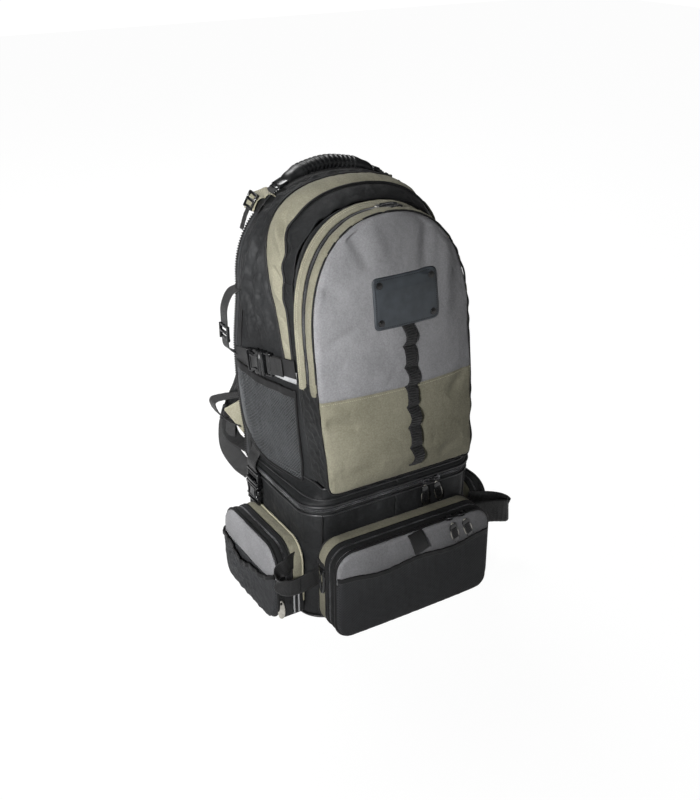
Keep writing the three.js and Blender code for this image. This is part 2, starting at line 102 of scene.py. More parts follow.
# Shares of the width and of the height that the pack loses for each millimetre towards its front.
SIDE_TAPER = 0.00137
TOP_TAPER = 0.0003
# Shares of the top's depth that the lid's black band and the olive band take.
BLACK_SHARE = 0.3156
OLIVE_SHARE = 0.4662
MAIN = dict(foot=HIP_HALF_WIDTH + 5, waist=BACK_HIGH[0], top=HIP_HALF_WIDTH + 7, high=PACK_TOP,
            shoulder=118, corner=26, low=PACK_FOOT)
GUSSET_WAIST = corners("grey_panel")[1][0]
GUSSET = dict(foot=GUSSET_WAIST - 6, waist=GUSSET_WAIST - 2, top=GUSSET_WAIST - 2, high=GUSSET_TOP,
              shoulder=146, corner=30, low=PANEL_FOOT)


def panel_face(z):
    """Outer face of the front panel at height z."""
    return PANEL_FOOT_Y + (z - PANEL_FOOT) * LEAN


def lid_back(z):
    """Back of the front pocket, where the lid's black band starts."""
    return panel_face(z) + FRONT_DEPTH


def above_waist(z):
    return np.maximum(z - WAIST, 0)


TOP_DEPTH = BACK_Y - BACK_PAD - lid_back(PACK_TOP)


def band_back(z):
    """Seam between the lid's black band and the olive band."""
    return lid_back(z) + 4 + above_waist(z) * (BLACK_SHARE * TOP_DEPTH - 4) / above_waist(PACK_TOP)


def olive_back(z):
    """Seam between the olive band and the black side."""
    return band_back(z) + 15 + above_waist(z) * (OLIVE_SHARE * TOP_DEPTH - 15) / above_waist(PACK_TOP)


# ---- lines ----
def spaced(length, pitch):
    """Middles of the steps of one pitch that fit in a length, as shares of it."""
    count = int(length / pitch)
    return (np.arange(count) + 0.5) / count


class Trace:
    """A line through points, read by the share of its length from 0 to 1."""

    def __init__(self, points, closed=False):
        points = [np.array(p, float) for p in points]
        self.closed = closed
        self.points = np.array(points + points[:1] if closed else points)
        steps = np.linalg.norm(np.diff(self.points, axis=0), axis=1)
        self.run = np.concatenate([[0], np.cumsum(steps)])
        self.length = self.run[-1]

    def at(self, share):
        share = np.asarray(share, float)
        share = share % 1.0 if self.closed else np.clip(share, 0, 1)
        place = share * self.length
        return np.stack([np.interp(place, self.run, axis) for axis in self.points.T], -1)

    def along(self, share, reach=3.0):
        """Unit direction of the line."""
        step = reach / self.length
        ahead, behind = np.asarray(share) + step, np.asarray(share) - step
        way = self.at(ahead) - self.at(behind)
        return way / np.linalg.norm(way, axis=-1, keepdims=True)

    def out(self, share, reach=3.0):
        """Unit normal of a plane line that runs clockwise, away from its inside."""
        way = self.along(share, reach)
        return stack(-way[..., 1], way[..., 0])


def bezier(a, b, c, d, steps=24):
    t = np.linspace(0, 1, steps + 1)[:, None]
    a, b, c, d = (np.array(p, float) for p in (a, b, c, d))
    return list(a * (1 - t) ** 3 + 3 * b * t * (1 - t) ** 2 + 3 * c * t ** 2 * (1 - t) + d * t ** 3)


def smooth_through(points, steps=10):
    """A smooth line through given points."""
    p = [np.array(q, float) for q in points]
    p = [2 * p[0] - p[1], *p, 2 * p[-1] - p[-2]]
    line = []
    for a, b, c, d in zip(p, p[1:], p[2:], p[3:]):
        for t in np.arange(steps) / steps:
            line.append(0.5 * (2 * b + (c - a) * t + (2 * a - 5 * b + 4 * c - d) * t ** 2
                               + (3 * b - a - 3 * c + d) * t ** 3))
    return Trace([*line, p[-2]])


def arch_half(foot, waist, top, high, shoulder, corner, low, inset=0, footed=True):
    """Left half of the pack's outline from its foot to the middle of its top, in x and z."""
    foot, waist, top, high, low = foot - inset, waist - inset, top - inset, high - inset, low + inset
    line = []
    if footed:
        line += bezier((-foot + corner, low), (-foot, low), (-foot, low), (-foot, low + corner), 12)
    else:
        line += [(-foot, low)]
    line += bezier((-foot - 0.1, low + corner + 20), (-waist, WAIST - 60), (-waist, WAIST - 30),
                   (-waist, WAIST), 16)
    line += bezier((-waist, WAIST + 2), (-waist, WAIST + 30), (-top, high - shoulder - 30),
                   (-top, high - shoulder), 12)
    line += bezier((-top, high - shoulder + 1), (-top, high - shoulder * 0.38), (-top * 0.66, high),
                   (0, high), 30)
    return line


def arch(footed=True, **size):
    """Outline of the pack, clockwise from the middle of its foot, or open from foot to foot."""
    half = arch_half(footed=footed, **size)
    other = [(-x, z) for x, z in reversed(half[:-1])]
    return Trace([(0, half[0][1]), *half, *other] if footed else [*half, *other], closed=footed)


def rounded(half_width, low, high, corner):
    """A rounded rectangle, clockwise from the middle of its foot."""
    r, line = corner, [(0, low)]
    for cx, cy, start in ((-half_width + r, low + r, 270), (-half_width + r, high - r, 180),
                          (half_width - r, high - r, 90), (half_width - r, low + r, 0)):
        for step in range(13):
            a = math.radians(start - step * 7.5)
            line.append((cx + r * math.cos(a), cy + r * math.sin(a)))
    return Trace(line, closed=True)


# ---- cloth relief ----
def ease(low, high, x):
    t = np.clip((x - low) / (high - low), 0, 1)
    return t * t * (3 - 2 * t)


def bump(centre, reach, x):
    """A smooth rise to 1 at the centre that is 0 beyond its reach."""
    return ease(reach, 0, np.abs(x - centre))


def hump(share):
    """A rise from 0 to 1 and back to 0 as share runs from 0 to 1."""
    return np.sin(np.pi * share)


def folds(a, b, pitch, seed):
    """Soft creases of that pitch across a, wandering along b, from -1 to 1."""
    rng = np.random.default_rng(seed)
    total = 0
    for octave in (1.0, 1.7, 2.9):
        turn, phase, stray = rng.uniform(-0.5, 0.5), rng.uniform(0, 6.3), rng.uniform(1.6, 3.0)
        wander = 0.9 * np.sin(CYCLE * b / (pitch * stray) + rng.uniform(0, 6.3))
        wave = np.sin(CYCLE * octave * (a * math.cos(turn) + b * math.sin(turn)) / pitch + phase + wander)
        total = total + (1 - 2 * np.abs(wave) ** 0.8) / octave
    return total / 1.93


def crease(a, b, start, end, width, height):
    """A soft fold between two places of the cloth, fading towards both of its ends."""
    (sa, sb), (ea, eb) = start, end
    length = math.hypot(ea - sa, eb - sb)
    wa, wb = (ea - sa) / length, (eb - sb) / length
    share = ((a - sa) * wa + (b - sb) * wb) / length
    off = (a - sa) * wb - (b - sb) * wa
    ends = np.clip(np.sin(np.pi * np.clip(share, 0, 1)), 0, 1) ** 0.5
    return height * ends * np.exp(-(off / width) ** 2)


def patches(a, b, size, seed):
    """Slow hollows and swellings, from -1 to 1."""
    rng = np.random.default_rng(seed)
    total = 0
    for _ in range(5):
        turn, phase, pitch = rng.uniform(0, 6.3), rng.uniform(0, 6.3), size * rng.uniform(0.7, 1.6)
        total = total + np.sin(CYCLE * (a * math.cos(turn) + b * math.sin(turn)) / pitch + phase)
    return total / 3.2


def puckers(run, off, pitch, seed, reach=10):
    """Gathers along a seam: run is the place along it, off the distance from it."""
    rng = np.random.default_rng(seed)
    wave = np.sin(CYCLE * run / pitch + 1.4 * np.sin(CYCLE * run / (pitch * 3.3) + rng.uniform(0, 6.3)))
    slow = 0.5 + 0.5 * np.sin(CYCLE * run / (pitch * 7.1) + rng.uniform(0, 6.3))
    return wave * slow * np.exp(-np.abs(off) / reach)


# ---- meshes ----
BAG_MIDDLE = Vector((0, 0, 0.3))


def store(name, bm, look=None):
    """A mesh object made from bm, its faces smooth, linked to the scene."""
    mesh = bpy.data.meshes.new(name)
    bm.to_mesh(mesh)
    bm.free()
    for polygon in mesh.polygons:
        polygon.use_smooth = True
    piece = bpy.data.objects.new(name, mesh)
    bpy.context.scene.collection.objects.link(piece)
    if look is not None:
        piece.data.materials.append(look)
    return piece


def face_away(bm, inside):
    """Turns the faces of a skin so that they point away from a place inside it."""
    total = sum(f.calc_area() * f.normal.dot(f.calc_center_median() - inside) for f in bm.faces)
    if total < 0:
        bmesh.ops.reverse_faces(bm, faces=bm.faces[:])


def skin(across, along, place, size=(100, 100), inside=None, close=False):
    """A bmesh grid, its points put in place by place(u, v), with a UV map as long and wide as the cloth.

    u and v run from 0 to 1; size is the cloth's size along each."""
    bm = bmesh.new()
    bmesh.ops.create_grid(bm, x_segments=across, y_segments=along, size=0.5)
    share = np.array([v.co[:2] for v in bm.verts]) + 0.5
    layer = bm.loops.layers.uv.new("cloth")
    for face in bm.faces:
        for loop in face.loops:
            u, v = share[loop.vert.index]
            loop[layer].uv = (u * size[0] * MM, v * size[1] * MM)
    spots = np.asarray(place(share[:, 0], share[:, 1])) * MM
    for vert, spot in zip(bm.verts, spots):
        vert.co = spot
    bmesh.ops.remove_doubles(bm, verts=bm.verts[:], dist=1e-6)
    bm.normal_update()
    if close:
        bmesh.ops.recalc_face_normals(bm, faces=bm.faces[:])
    else:
        face_away(bm, BAG_MIDDLE if inside is None else Vector(inside) * MM)
    return bm


def seal(bm):
    """Fills the open ends of a mesh and turns all its faces outwards."""
    bmesh.ops.holes_fill(bm, edges=[e for e in bm.edges if e.is_boundary], sides=0)
    bmesh.ops.recalc_face_normals(bm, faces=bm.faces[:])


def thicken(piece, thickness, offset=-1.0):
    """Gives a skin its cloth thickness, inwards unless told otherwise."""
    wall = piece.modifiers.new("thickness", "SOLIDIFY")
    wall.thickness = thickness * MM
    wall.offset = offset
    return piece


def soften(piece, width):
    edge = piece.modifiers.new("edges", "BEVEL")
    edge.width = width * MM
    edge.segments = 2
    edge.limit_method = "ANGLE"
    edge.angle_limit = math.radians(35)
    return piece


def dress(piece, body, finish="black_fabric", *nodes):
    """Rides a piece on its body and the frame nodes it stands for."""
    if isinstance(body, str):
        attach(piece, body)
    else:
        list(body)
        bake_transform(piece)
    if nodes:
        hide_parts(*nodes)
    return piece


def cross_section(width, thickness):
    """Outline of a flat strap's section: share of the way round to (across, up)."""
    w, t = width / 2, thickness / 2
    r = min(w, t) * 0.8
    line = []
    for cx, cy, start in ((w - r, t - r, 0), (-w + r, t - r, 90), (-w + r, -t + r, 180),
                          (w - r, -t + r, 270)):
        for a in (0, 45, 90):
            turn = math.radians(start + a)
            line.append((cx + r * math.cos(turn), cy + r * math.sin(turn)))
    return Trace(line, closed=True)


def swept(name, line, section, across, look, steps=None, scale=None, around=24, lift=None):
    """A solid bar along a Trace in space; across is the direction of the section's width.

    scale(share) gives the section's width and thickness as shares; lift(share, side) moves its surface."""
    steps = steps or max(4, int(line.length / 3))
    across = np.array(across, float)

    def place(u, v):
        spot, way = line.at(v), line.along(v, 2.0)
        side = across - way * (way @ across)[:, None] if across.ndim == 1 else across
        side = side / np.linalg.norm(side, axis=-1, keepdims=True)
        up = np.cross(way, side)
        shape = section.at(u)
        wide, thick = scale(v) if scale else (1, 1)
        a, b = shape[:, 0] * wide, shape[:, 1] * thick
        if lift is not None:
            b = b + lift(v * line.length, a, b)
        return spot + side * a[:, None] + up * b[:, None]

    bm = skin(around, steps, place, (section.length, line.length), close=True)
    seal(bm)
    return store(name, bm, look)


ROUND = Trace([(math.cos(math.radians(-a)), math.sin(math.radians(-a))) for a in range(0, 360, 30)],
              closed=True)


def tube(name, line, radius, look, steps=None, around=8, taper=None):
    """A round cord along a Trace in space, closed on itself when the Trace is closed."""
    steps = steps or max(6, int(line.length / 3))
    hint = np.array((0.31, 0.87, 0.38))

    def place(u, v):
        way = line.along(v, 2.5)
        side = np.cross(way, hint)
        side /= np.linalg.norm(side, axis=-1, keepdims=True)
        up = np.cross(way, side)
        ring = ROUND.at(u) * radius
        if taper is not None:
            ring = ring * taper(v)[:, None]
        return line.at(v) + side * ring[:, :1] + up * ring[:, 1:]

    bm = skin(around, steps, place, (6.28 * radius, line.length), close=True)
    seal(bm)
    return store(name, bm, look)


def repeat(name, stamp, places, look):
    """Copies of one small mesh at many places: each a spot, a direction and an up, joined in one piece."""
    bm = bmesh.new()
    for spot, way, up in places:
        x = Vector(way).normalized()
        z = (Vector(up) - x * Vector(up).dot(x)).normalized()
        turn = Matrix((x, z.cross(x), z)).transposed().to_4x4()
        turn.translation = Vector(spot) * MM
        before = len(bm.verts)
        bm.from_mesh(stamp)
        bm.verts.ensure_lookup_table()
        bmesh.ops.transform(bm, matrix=turn, verts=bm.verts[before:])
    return store(name, bm, look)


def small_mesh(shape):
    """A scratch mesh for repeat(), drawn by shape(bm) in millimetres."""
    bm = bmesh.new()
    shape(bm)
    bmesh.ops.scale(bm, vec=(MM, MM, MM), verts=bm.verts[:])
    mesh = bpy.data.meshes.new("stamp")
    bm.to_mesh(mesh)
    bm.free()
    return mesh


def round_edges(bm, edges, width, segments=2):
    bmesh.ops.bevel(bm, geom=edges, offset=width, segments=segments, profile=0.5, affect="EDGES", material=-1)


def bar(length, width, height, edge=0.25):
    def shape(bm):
        bmesh.ops.create_cube(bm, size=1)
        bmesh.ops.scale(bm, vec=(length, width, height), verts=bm.verts[:])
        round_edges(bm, bm.edges[:], edge, 1)
    return shape


# ---- finishes ----
def tone(code):
    """Linear colour from a screen colour such as 8b8672."""
    parts = [int(code[i:i + 2], 16) / 255 for i in (0, 2, 4)]
    return [p / 12.92 if p <= 0.04045 else ((p + 0.055) / 1.055) ** 2.4 for p in parts] + [1]


class Look:
    """A material being built: its nodes, with short calls to add and join them."""

    def __init__(self, name, roughness, metallic=0.0, specular=0.5):
        self.material = bpy.data.materials.new(name)
        self.material.use_nodes = True
        self.tree = self.material.node_tree
        self.shader = self.tree.nodes["Principled BSDF"]
        self.shader.inputs["Roughness"].default_value = roughness
        self.shader.inputs["Metallic"].default_value = metallic
        self.shader.inputs["Specular IOR Level"].default_value = specular

    def node(self, kind, values=(), **settings):
        made = self.tree.nodes.new(kind)
        for key, value in settings.items():
            setattr(made, key, value)
        for key, value in dict(values).items():
            self.feed(made.inputs[key], value)
        return made

    def feed(self, socket, value):
        if isinstance(value, bpy.types.NodeSocket):
            self.tree.links.new(value, socket)
        else:
            socket.default_value = value

    def math(self, operation, *values):
        made = self.node("ShaderNodeMath", operation=operation)
        for socket, value in zip(made.inputs, values):
            self.feed(socket, value)
        return made.outputs[0]

    def wave(self, value, rate):
        return self.math("SINE", self.math("MULTIPLY", value, rate))

    def where(self, uv=False):
        return self.node("ShaderNodeTexCoord").outputs["UV" if uv else "Object"]

    def cloud(self, scale, detail=3, uv=False, roughness=0.55):
        values = {"Vector": self.where(uv), "Scale": scale, "Detail": detail, "Roughness": roughness}
        return self.node("ShaderNodeTexNoise", values).outputs["Fac"]

    def blend(self, share, low, high):
        made = self.node("ShaderNodeMix", data_type="RGBA")
        self.feed(made.inputs[0], share)
        self.feed(made.inputs[6], low)
        self.feed(made.inputs[7], high)
        return made.outputs[2]

    def stretch(self, value, low, high, to_low=0.0, to_high=1.0):
        values = {"Value": value, "From Min": low, "From Max": high, "To Min": to_low, "To Max": to_high}
        return self.node("ShaderNodeMapRange", values).outputs["Result"]

    def relief(self, height, strength, distance):
        values = {"Height": height, "Strength": strength, "Distance": distance * MM}
        under = self.shader.inputs["Normal"]
        made = self.node("ShaderNodeBump", values)
        if under.is_linked:
            self.tree.links.new(under.links[0].from_socket, made.inputs["Normal"])
        self.tree.links.new(made.outputs["Normal"], under)

    def colour(self, value):
        self.feed(self.shader.inputs["Base Color"], value)

    def cloudy(self, light, dark, scale, low, high):
        """Colour between two tones in soft clouds."""
        share = self.stretch(self.cloud(scale, 4), low, high)
        self.colour(self.blend(share, tone(dark), tone(light)))

    def threads(self, pitch):
        """Over-and-under weave height from 0 to 1, its threads pitch millimetres apart, along the cloth."""
        split = self.node("ShaderNodeSeparateXYZ", {"Vector": self.where(uv=True)})
        turn = math.pi / (pitch * MM)
        warp = self.wave(split.outputs["X"], turn)
        weft = self.wave(split.outputs["Y"], turn)
        return self.math("MULTIPLY_ADD", self.math("MULTIPLY", warp, weft), 0.5, 0.5)


def woven(name, light, dark, thread=0.9, roughness=0.86, sheen=0.25, grain=0.35, mottle=0.5, bumpiness=0.5,
          crumple=0.0):
    """Coated polyester cloth: a plain weave, its threads uneven, a little worn and dusty."""
    look = Look(name, roughness, specular=0.22)
    weave = look.threads(thread)
    dust = look.stretch(look.cloud(14, 4), 0.32, 0.68)
    speck = look.stretch(look.cloud(480, 3, roughness=0.7), 0.34, 0.66)
    share = look.math("ADD", look.math("MULTIPLY", dust, mottle), look.math("MULTIPLY", speck, grain))
    share = look.math("ADD", share, look.math("MULTIPLY", weave, 1 - mottle - grain + 0.1))
    look.colour(look.blend(share, tone(dark), tone(light)))
    look.relief(weave, bumpiness, 0.12)
    look.relief(look.cloud(160, 3), 0.25, 0.6)
    if crumple:
        sharp = look.math("ABSOLUTE", look.math("SUBTRACT", look.cloud(9, 4), 0.5))
        look.relief(look.math("MINIMUM", sharp, 0.12), crumple, 22)
        look.relief(look.cloud(42, 2), crumple * 0.6, 3)
    look.shader.inputs["Sheen Weight"].default_value = sheen
    look.shader.inputs["Sheen Roughness"].default_value = 0.45
    return look.material


def ribbed(name, light, dark, rib=1.6, sheen=0.15):
    """Narrow webbing: ribs across its width and a fine twill along them."""
    look = Look(name, 0.62, specular=0.35)
    split = look.node("ShaderNodeSeparateXYZ", {"Vector": look.where(uv=True)})
    ridge = look.wave(split.outputs["Y"], 2 * math.pi / (rib * MM))
    twill = look.math("ADD", split.outputs["X"], split.outputs["Y"])
    twill = look.wave(twill, 2 * math.pi / (0.8 * MM))
    height = look.math("MULTIPLY_ADD", twill, 0.35, ridge)
    share = look.stretch(height, -1.2, 1.2)
    share = look.math("MULTIPLY", share, look.stretch(look.cloud(60, 3), 0.3, 0.7, 0.5, 1.0))
    look.colour(look.blend(share, tone(dark), tone(light)))
    look.relief(height, 0.55, 0.25)
    look.shader.inputs["Sheen Weight"].default_value = sheen
    return look.material


def moulded(name, light, dark, roughness=0.42):
    """Moulded nylon: a fine grain, a little gloss, rubbed paler in places."""
    look = Look(name, roughness, specular=0.5)
    look.cloudy(light, dark, 35, 0.4, 0.75)
    look.feed(look.shader.inputs["Roughness"],
              look.stretch(look.cloud(50, 3), 0.3, 0.7, roughness - 0.1, roughness + 0.15))
    look.relief(look.cloud(1400, 2), 0.18, 0.15)
    return look.material


def metal(name, light, dark, roughness=0.3):
    """Cast zinc, nickel plated, dulled by handling."""
    look = Look(name, roughness, metallic=1.0)
    look.cloudy(light, dark, 120, 0.35, 0.7)
    look.feed(look.shader.inputs["Roughness"],
              look.stretch(look.cloud(90, 3), 0.3, 0.7, roughness - 0.08, roughness + 0.18))
    look.relief(look.cloud(700, 2), 0.12, 0.1)
    return look.material


def fine_mesh(name, light, dark, hole=1.5):
    """Close knitted mesh: rows of small holes in staggered lines."""
    look = Look(name, 0.8, specular=0.3)
    split = look.node("ShaderNodeSeparateXYZ", {"Vector": look.where(uv=True)})
    turn = math.pi / (hole * MM)
    slant = look.math("ADD", split.outputs["X"], split.outputs["Y"])
    other = look.math("SUBTRACT", split.outputs["X"], split.outputs["Y"])
    a = look.wave(slant, turn)
    b = look.wave(other, turn)
    net = look.math("MAXIMUM", look.math("ABSOLUTE", a), look.math("ABSOLUTE", b))
    net = look.stretch(net, 0.55, 0.95)
    stain = look.stretch(look.cloud(25, 3), 0.3, 0.7, 0.75, 1.0)
    look.colour(look.blend(look.math("MULTIPLY", net, stain), tone(dark), tone(light)))
    look.relief(net, 0.6, 0.35)
    return look.material


def grained(name, light, dark, roughness=0.5):
    """Smooth leatherette with a fine pebble grain."""
    look = Look(name, roughness, specular=0.45)
    pebble = look.node("ShaderNodeTexVoronoi", {"Vector": look.where(), "Scale": 1100}).outputs["Distance"]
    look.cloudy(light, dark, 40, 0.3, 0.7)
    look.relief(pebble, 0.25, 0.12)
    return look.material


BLACK = woven("black_oxford_cloth", "252627", "020203", roughness=0.62, sheen=0.02, bumpiness=0.9,
              crumple=0.8)
BLACK_DEEP = woven("black_lid_cloth", "1d1e1f", "020202", roughness=0.62, sheen=0.02, bumpiness=0.9,
                   crumple=0.7)
OLIVE = woven("olive_cloth", "8b8878", "575546", mottle=0.35, sheen=0.05, crumple=0.45)
GREY = woven("grey_cloth", "8e8e90", "5e5e60", mottle=0.35, sheen=0.05, crumple=0.45)
LINING = woven("grey_lining", "a5a6a7", "77787a", thread=0.6, sheen=0.05)
BINDING = woven("black_binding", "1b1b1c", "040404", thread=0.7, roughness=0.6, sheen=0.03)
PIPING = moulded("black_piping", "343436", "141415", roughness=0.42)
TAN_BINDING = woven("olive_binding", "aca893", "7d7a66", thread=0.7, sheen=0.05)
WEBBING = ribbed("black_webbing", "29292a", "030303", sheen=0.03)
TAN_WEBBING = ribbed("olive_webbing", "a5a18c", "75715f", rib=1.8, sheen=0.05)
PLASTIC = moulded("black_nylon", "191a1b", "040405", roughness=0.2)
GRIP = moulded("grip_rubber", "1b1c1d", "070708", roughness=0.42)
RIVET = moulded("rivet_enamel", "0e0e0e", "030303", roughness=0.3)
BLACK_STEEL = metal("black_nickel", "6a6a6c", "2c2c2e", roughness=0.28)
STEEL = metal("nickel_plate", "cfccc4", "97948c")
NET = fine_mesh("black_net", "3c3d3f", "010102", hole=2.6)
PATCH = grained("slate_leatherette", "3c4146", "282c30")
BLACK_THREAD = woven("black_thread", "2a2a2b", "0c0c0c", thread=0.4, sheen=0.03)
OLIVE_THREAD = woven("olive_thread", "aeab99", "86836f", thread=0.4, sheen=0.03)
COIL = moulded("zip_coil", "6c6d6f", "353537", roughness=0.45)
TAPE = woven("zip_tape", "202122", "0b0b0b", thread=0.5, sheen=0.04)
# Net yarn: its light grey is partly the dark yarn's own tone and partly a painted highlight, lightening the
# whole yarn so that the diamonds show as if catching the light.
NET_YARN_AND_HIGHLIGHT = woven("net_yarn_with_painted_highlight", "5c5e60", "252627", thread=0.5, sheen=0.05)
NET_PAD = fine_mesh("spacer_net", "4b4c4f", "141415", hole=2.2)


# ---- studio ----
def build_studio():
    scene = bpy.context.scene
    scene.view_settings.view_transform = "Standard"
    bm = bmesh.new()
    bmesh.ops.create_grid(bm, x_segments=1, y_segments=1, size=6)
    floor = store("studio_floor", bm)
    look = Look("studio_white", 0.9)
    path = look.node("ShaderNodeLightPath")
    glow = look.node("ShaderNodeEmission", {"Color": (1, 1, 1, 1), "Strength": 1.08})
    seen = look.math("MAXIMUM", path.outputs["Is Camera Ray"], path.outputs["Is Glossy Ray"])
    seen = look.math("MAXIMUM", seen, path.outputs["Is Transmission Ray"])
    look.colour(tone("e4e4e4"))
    mixed = look.node("ShaderNodeMixShader", {0: look.math("MULTIPLY", seen, 0.9)})
    look.tree.links.new(look.shader.outputs[0], mixed.inputs[1])
    look.tree.links.new(glow.outputs[0], mixed.inputs[2])
    look.tree.links.new(mixed.outputs[0], look.tree.nodes["Material Output"].inputs["Surface"])
    floor.data.materials.append(look.material)

    world = bpy.data.worlds.new("studio_air")
    scene.world = world
    world.use_nodes = True
    air = world.node_tree
    back = air.nodes["Background"]
    back.inputs["Color"].default_value = (1, 1, 1, 1)
    rays = air.nodes.new("ShaderNodeLightPath")
    strength = air.nodes.new("ShaderNodeMapRange")
    strength.inputs["To Min"].default_value = 0.04
    strength.inputs["To Max"].default_value = 1.05
    air.links.new(rays.outputs["Is Camera Ray"], strength.inputs["Value"])
    air.links.new(strength.outputs["Result"], back.inputs["Strength"])

    lamps = (("key", (-1.6, -1.4, 1.1), (-0.4, -0.02, 0.42), 0.35, 3.9, 26),
             ("side", (-2.2, 0.6, 1.5), (0, 0, 0.3), 0.7, 1.6, 180),
             ("fill", (1.6, -2.2, 1.2), (0, 0, 0.3), 1.2, 1.2, 180),
             ("rim", (0.1, 1.5, 2.4), (0, 0, 0.3), 1.0, 38, 180))
    for name, spot, aim, size, power, spread in lamps:
        lamp = bpy.data.lights.new(name, "AREA")
        lamp.size = size
        lamp.energy = power
        lamp.spread = math.radians(spread)
        holder = bpy.data.objects.new(name, lamp)
        holder.location = spot
        holder.rotation_euler = (Vector(aim) - Vector(spot)).to_track_quat("-Z", "Y").to_euler()
        scene.collection.objects.link(holder)


def build_camera():
    """The camera looks down at the pack's front left corner."""
    turn, tilt, distance = math.radians(31.7), math.radians(25.3), 1.4843
    target = Vector((-0.0060, -0.0081, 0.2915))
    way = Vector((math.sin(turn) * math.cos(tilt), math.cos(turn) * math.cos(tilt), -math.sin(tilt)))
    camera = bpy.data.cameras.new("camera")
    camera.sensor_fit = "VERTICAL"
    camera.sensor_height = 36
    camera.lens = 49.1
    camera.shift_x = -0.0091
    camera.shift_y = -0.0168
    holder = bpy.data.objects.new("camera", camera)
    holder.location = target - way * distance
    holder.rotation_euler = way.to_track_quat("-Z", "Y").to_euler()
    bpy.context.scene.collection.objects.link(holder)
    bpy.context.scene.camera = holder


build_studio()
build_camera()


# ---- pack ----
MAIN_LINE = arch(**MAIN)
GUSSET_LINE = arch(**GUSSET)
BAND_LINE = Trace([p for p in MAIN_LINE.points if p[1] >= WAIST - 8])


def taper(y):
    return 1 - (BACK_Y - y) * SIDE_TAPER, 1 - (BACK_Y - y) * TOP_TAPER


def crown(z, y):
    """How far the stuffed top of the pack swells between the back panel and the front pocket."""
    back = BACK_Y - BACK_PAD
    share = np.clip((back - y) / (back - lid_back(z)), 0, 1)
    return 12 * ease(470, 560, z) * np.sin(np.pi * share) ** 0.8


def on_shell(line, share, y, out=0.0):
    """A place on the pack's outside at depth y, out millimetres proud of it."""
    flat = line.at(share)
    out = out + crown(flat[:, 1], y + 0 * flat[:, 1])
    flat = flat + line.out(share) * np.reshape(out, (-1, 1))
    narrower, lower = taper(y)
    return stack(flat[:, 0] * narrower, y + 0 * flat[:, 0], PACK_FOOT + (flat[:, 1] - PACK_FOOT) * lower)


def shell_line(line, y_at, out=0.0, steps=300, start=0.0, stop=1.0):
    """A Trace in space along the pack's outside, at depth y_at(height)."""
    share = np.linspace(start, stop, steps)
    y = y_at(line.at(share)[:, 1])
    points = on_shell(line, share, y, out)
    closed = line.closed and start == 0.0 and stop == 1.0
    return Trace(points[:-1] if closed else points, closed=closed)


def side_front(z):
    """Front edge of the black side: the lid seam below the waist, the olive band above it."""
    return lid_back(z) + 0.6 + (olive_back(z) - lid_back(z)) * ease(WAIST - 5, WAIST + 6, z)


SIDE_FOLDS = (((74, 545), (52, 372), 1.6, 1.5), ((78, 545), (56, 372), 2.5, -1.6),
              ((46, 500), (62, 405), 4, 2.6), ((36, 520), (47, 400), 7, -2.6),
              ((30, 505), (26, 395), 4.5, 2.2), ((70, 520), (57, 470), 4, 2.0),
              ((44, 440), (20, 375), 6, -2.2), ((14, 480), (6, 390), 5, 1.6),
              ((52, 430), (40, 375), 3.5, 1.8))


def build_side():
    length = MAIN_LINE.length

    def place(u, v):
        z = MAIN_LINE.at(u)[:, 1]
        front, back = side_front(z), BACK_Y - BACK_PAD - 0.5
        y = back + (front - back) * v
        run = u * length
        edge = np.sin(np.pi * np.clip(v, 0, 1)) ** 0.6
        open_side = ease(WAIST + 10, WAIST + 60, z)
        out = 1.0 * edge + 5.0 * edge * open_side
        out = out + edge * open_side * (2.6 * folds(y * 0.8, run * 0.7, 34, 3) + 1.8 * folds(run, y, 52, 5))
        out = out + 0.5 * patches(run, y, 60, 4)
        for start, end, width, height in SIDE_FOLDS:
            out = out + 1.5 * crease(y, z, start, end, width, height)
        gathers = puckers(run, v * 100, 26, 8, 14) * 1.1 + puckers(run, (1 - v) * 100, 31, 9, 12)
        out = out + gathers * open_side
        floor = ease(PACK_FOOT + 14, PACK_FOOT, z)
        return on_shell(MAIN_LINE, u, y, out * (1 - floor))

    side = store("pack_side", skin(360, 44, place, (length, 110)), BLACK)
    thicken(side, 3)
    dress(side, "pack", "black_fabric", "main_shell")
    piping = tube("pack_back_piping", shell_line(MAIN_LINE, lambda z: BACK_Y - BACK_PAD - 1 + 0 * z, 0.8),
                  2.1, BINDING)
    dress(piping, "pack")


BAND_FOLDS = (((16, 540), (-16, 512), 4, -4.5), ((16, 528), (-14, 500), 5, 2.6),
              ((4, 488), (-24, 458), 3.5, -4.0), ((2, 470), (-22, 446), 4, 2.4),
              ((-12, 430), (-34, 412), 3, -2.4), ((-22, 396), (-44, 384), 3, -2.2))


def notch(z):
    """How far the seam between the two bands wanders from its even line."""
    return -4.5 * bump(508, 15, z) + 3.5 * bump(530, 13, z) - 3 * bump(478, 13, z) + 2.5 * bump(452, 12, z)


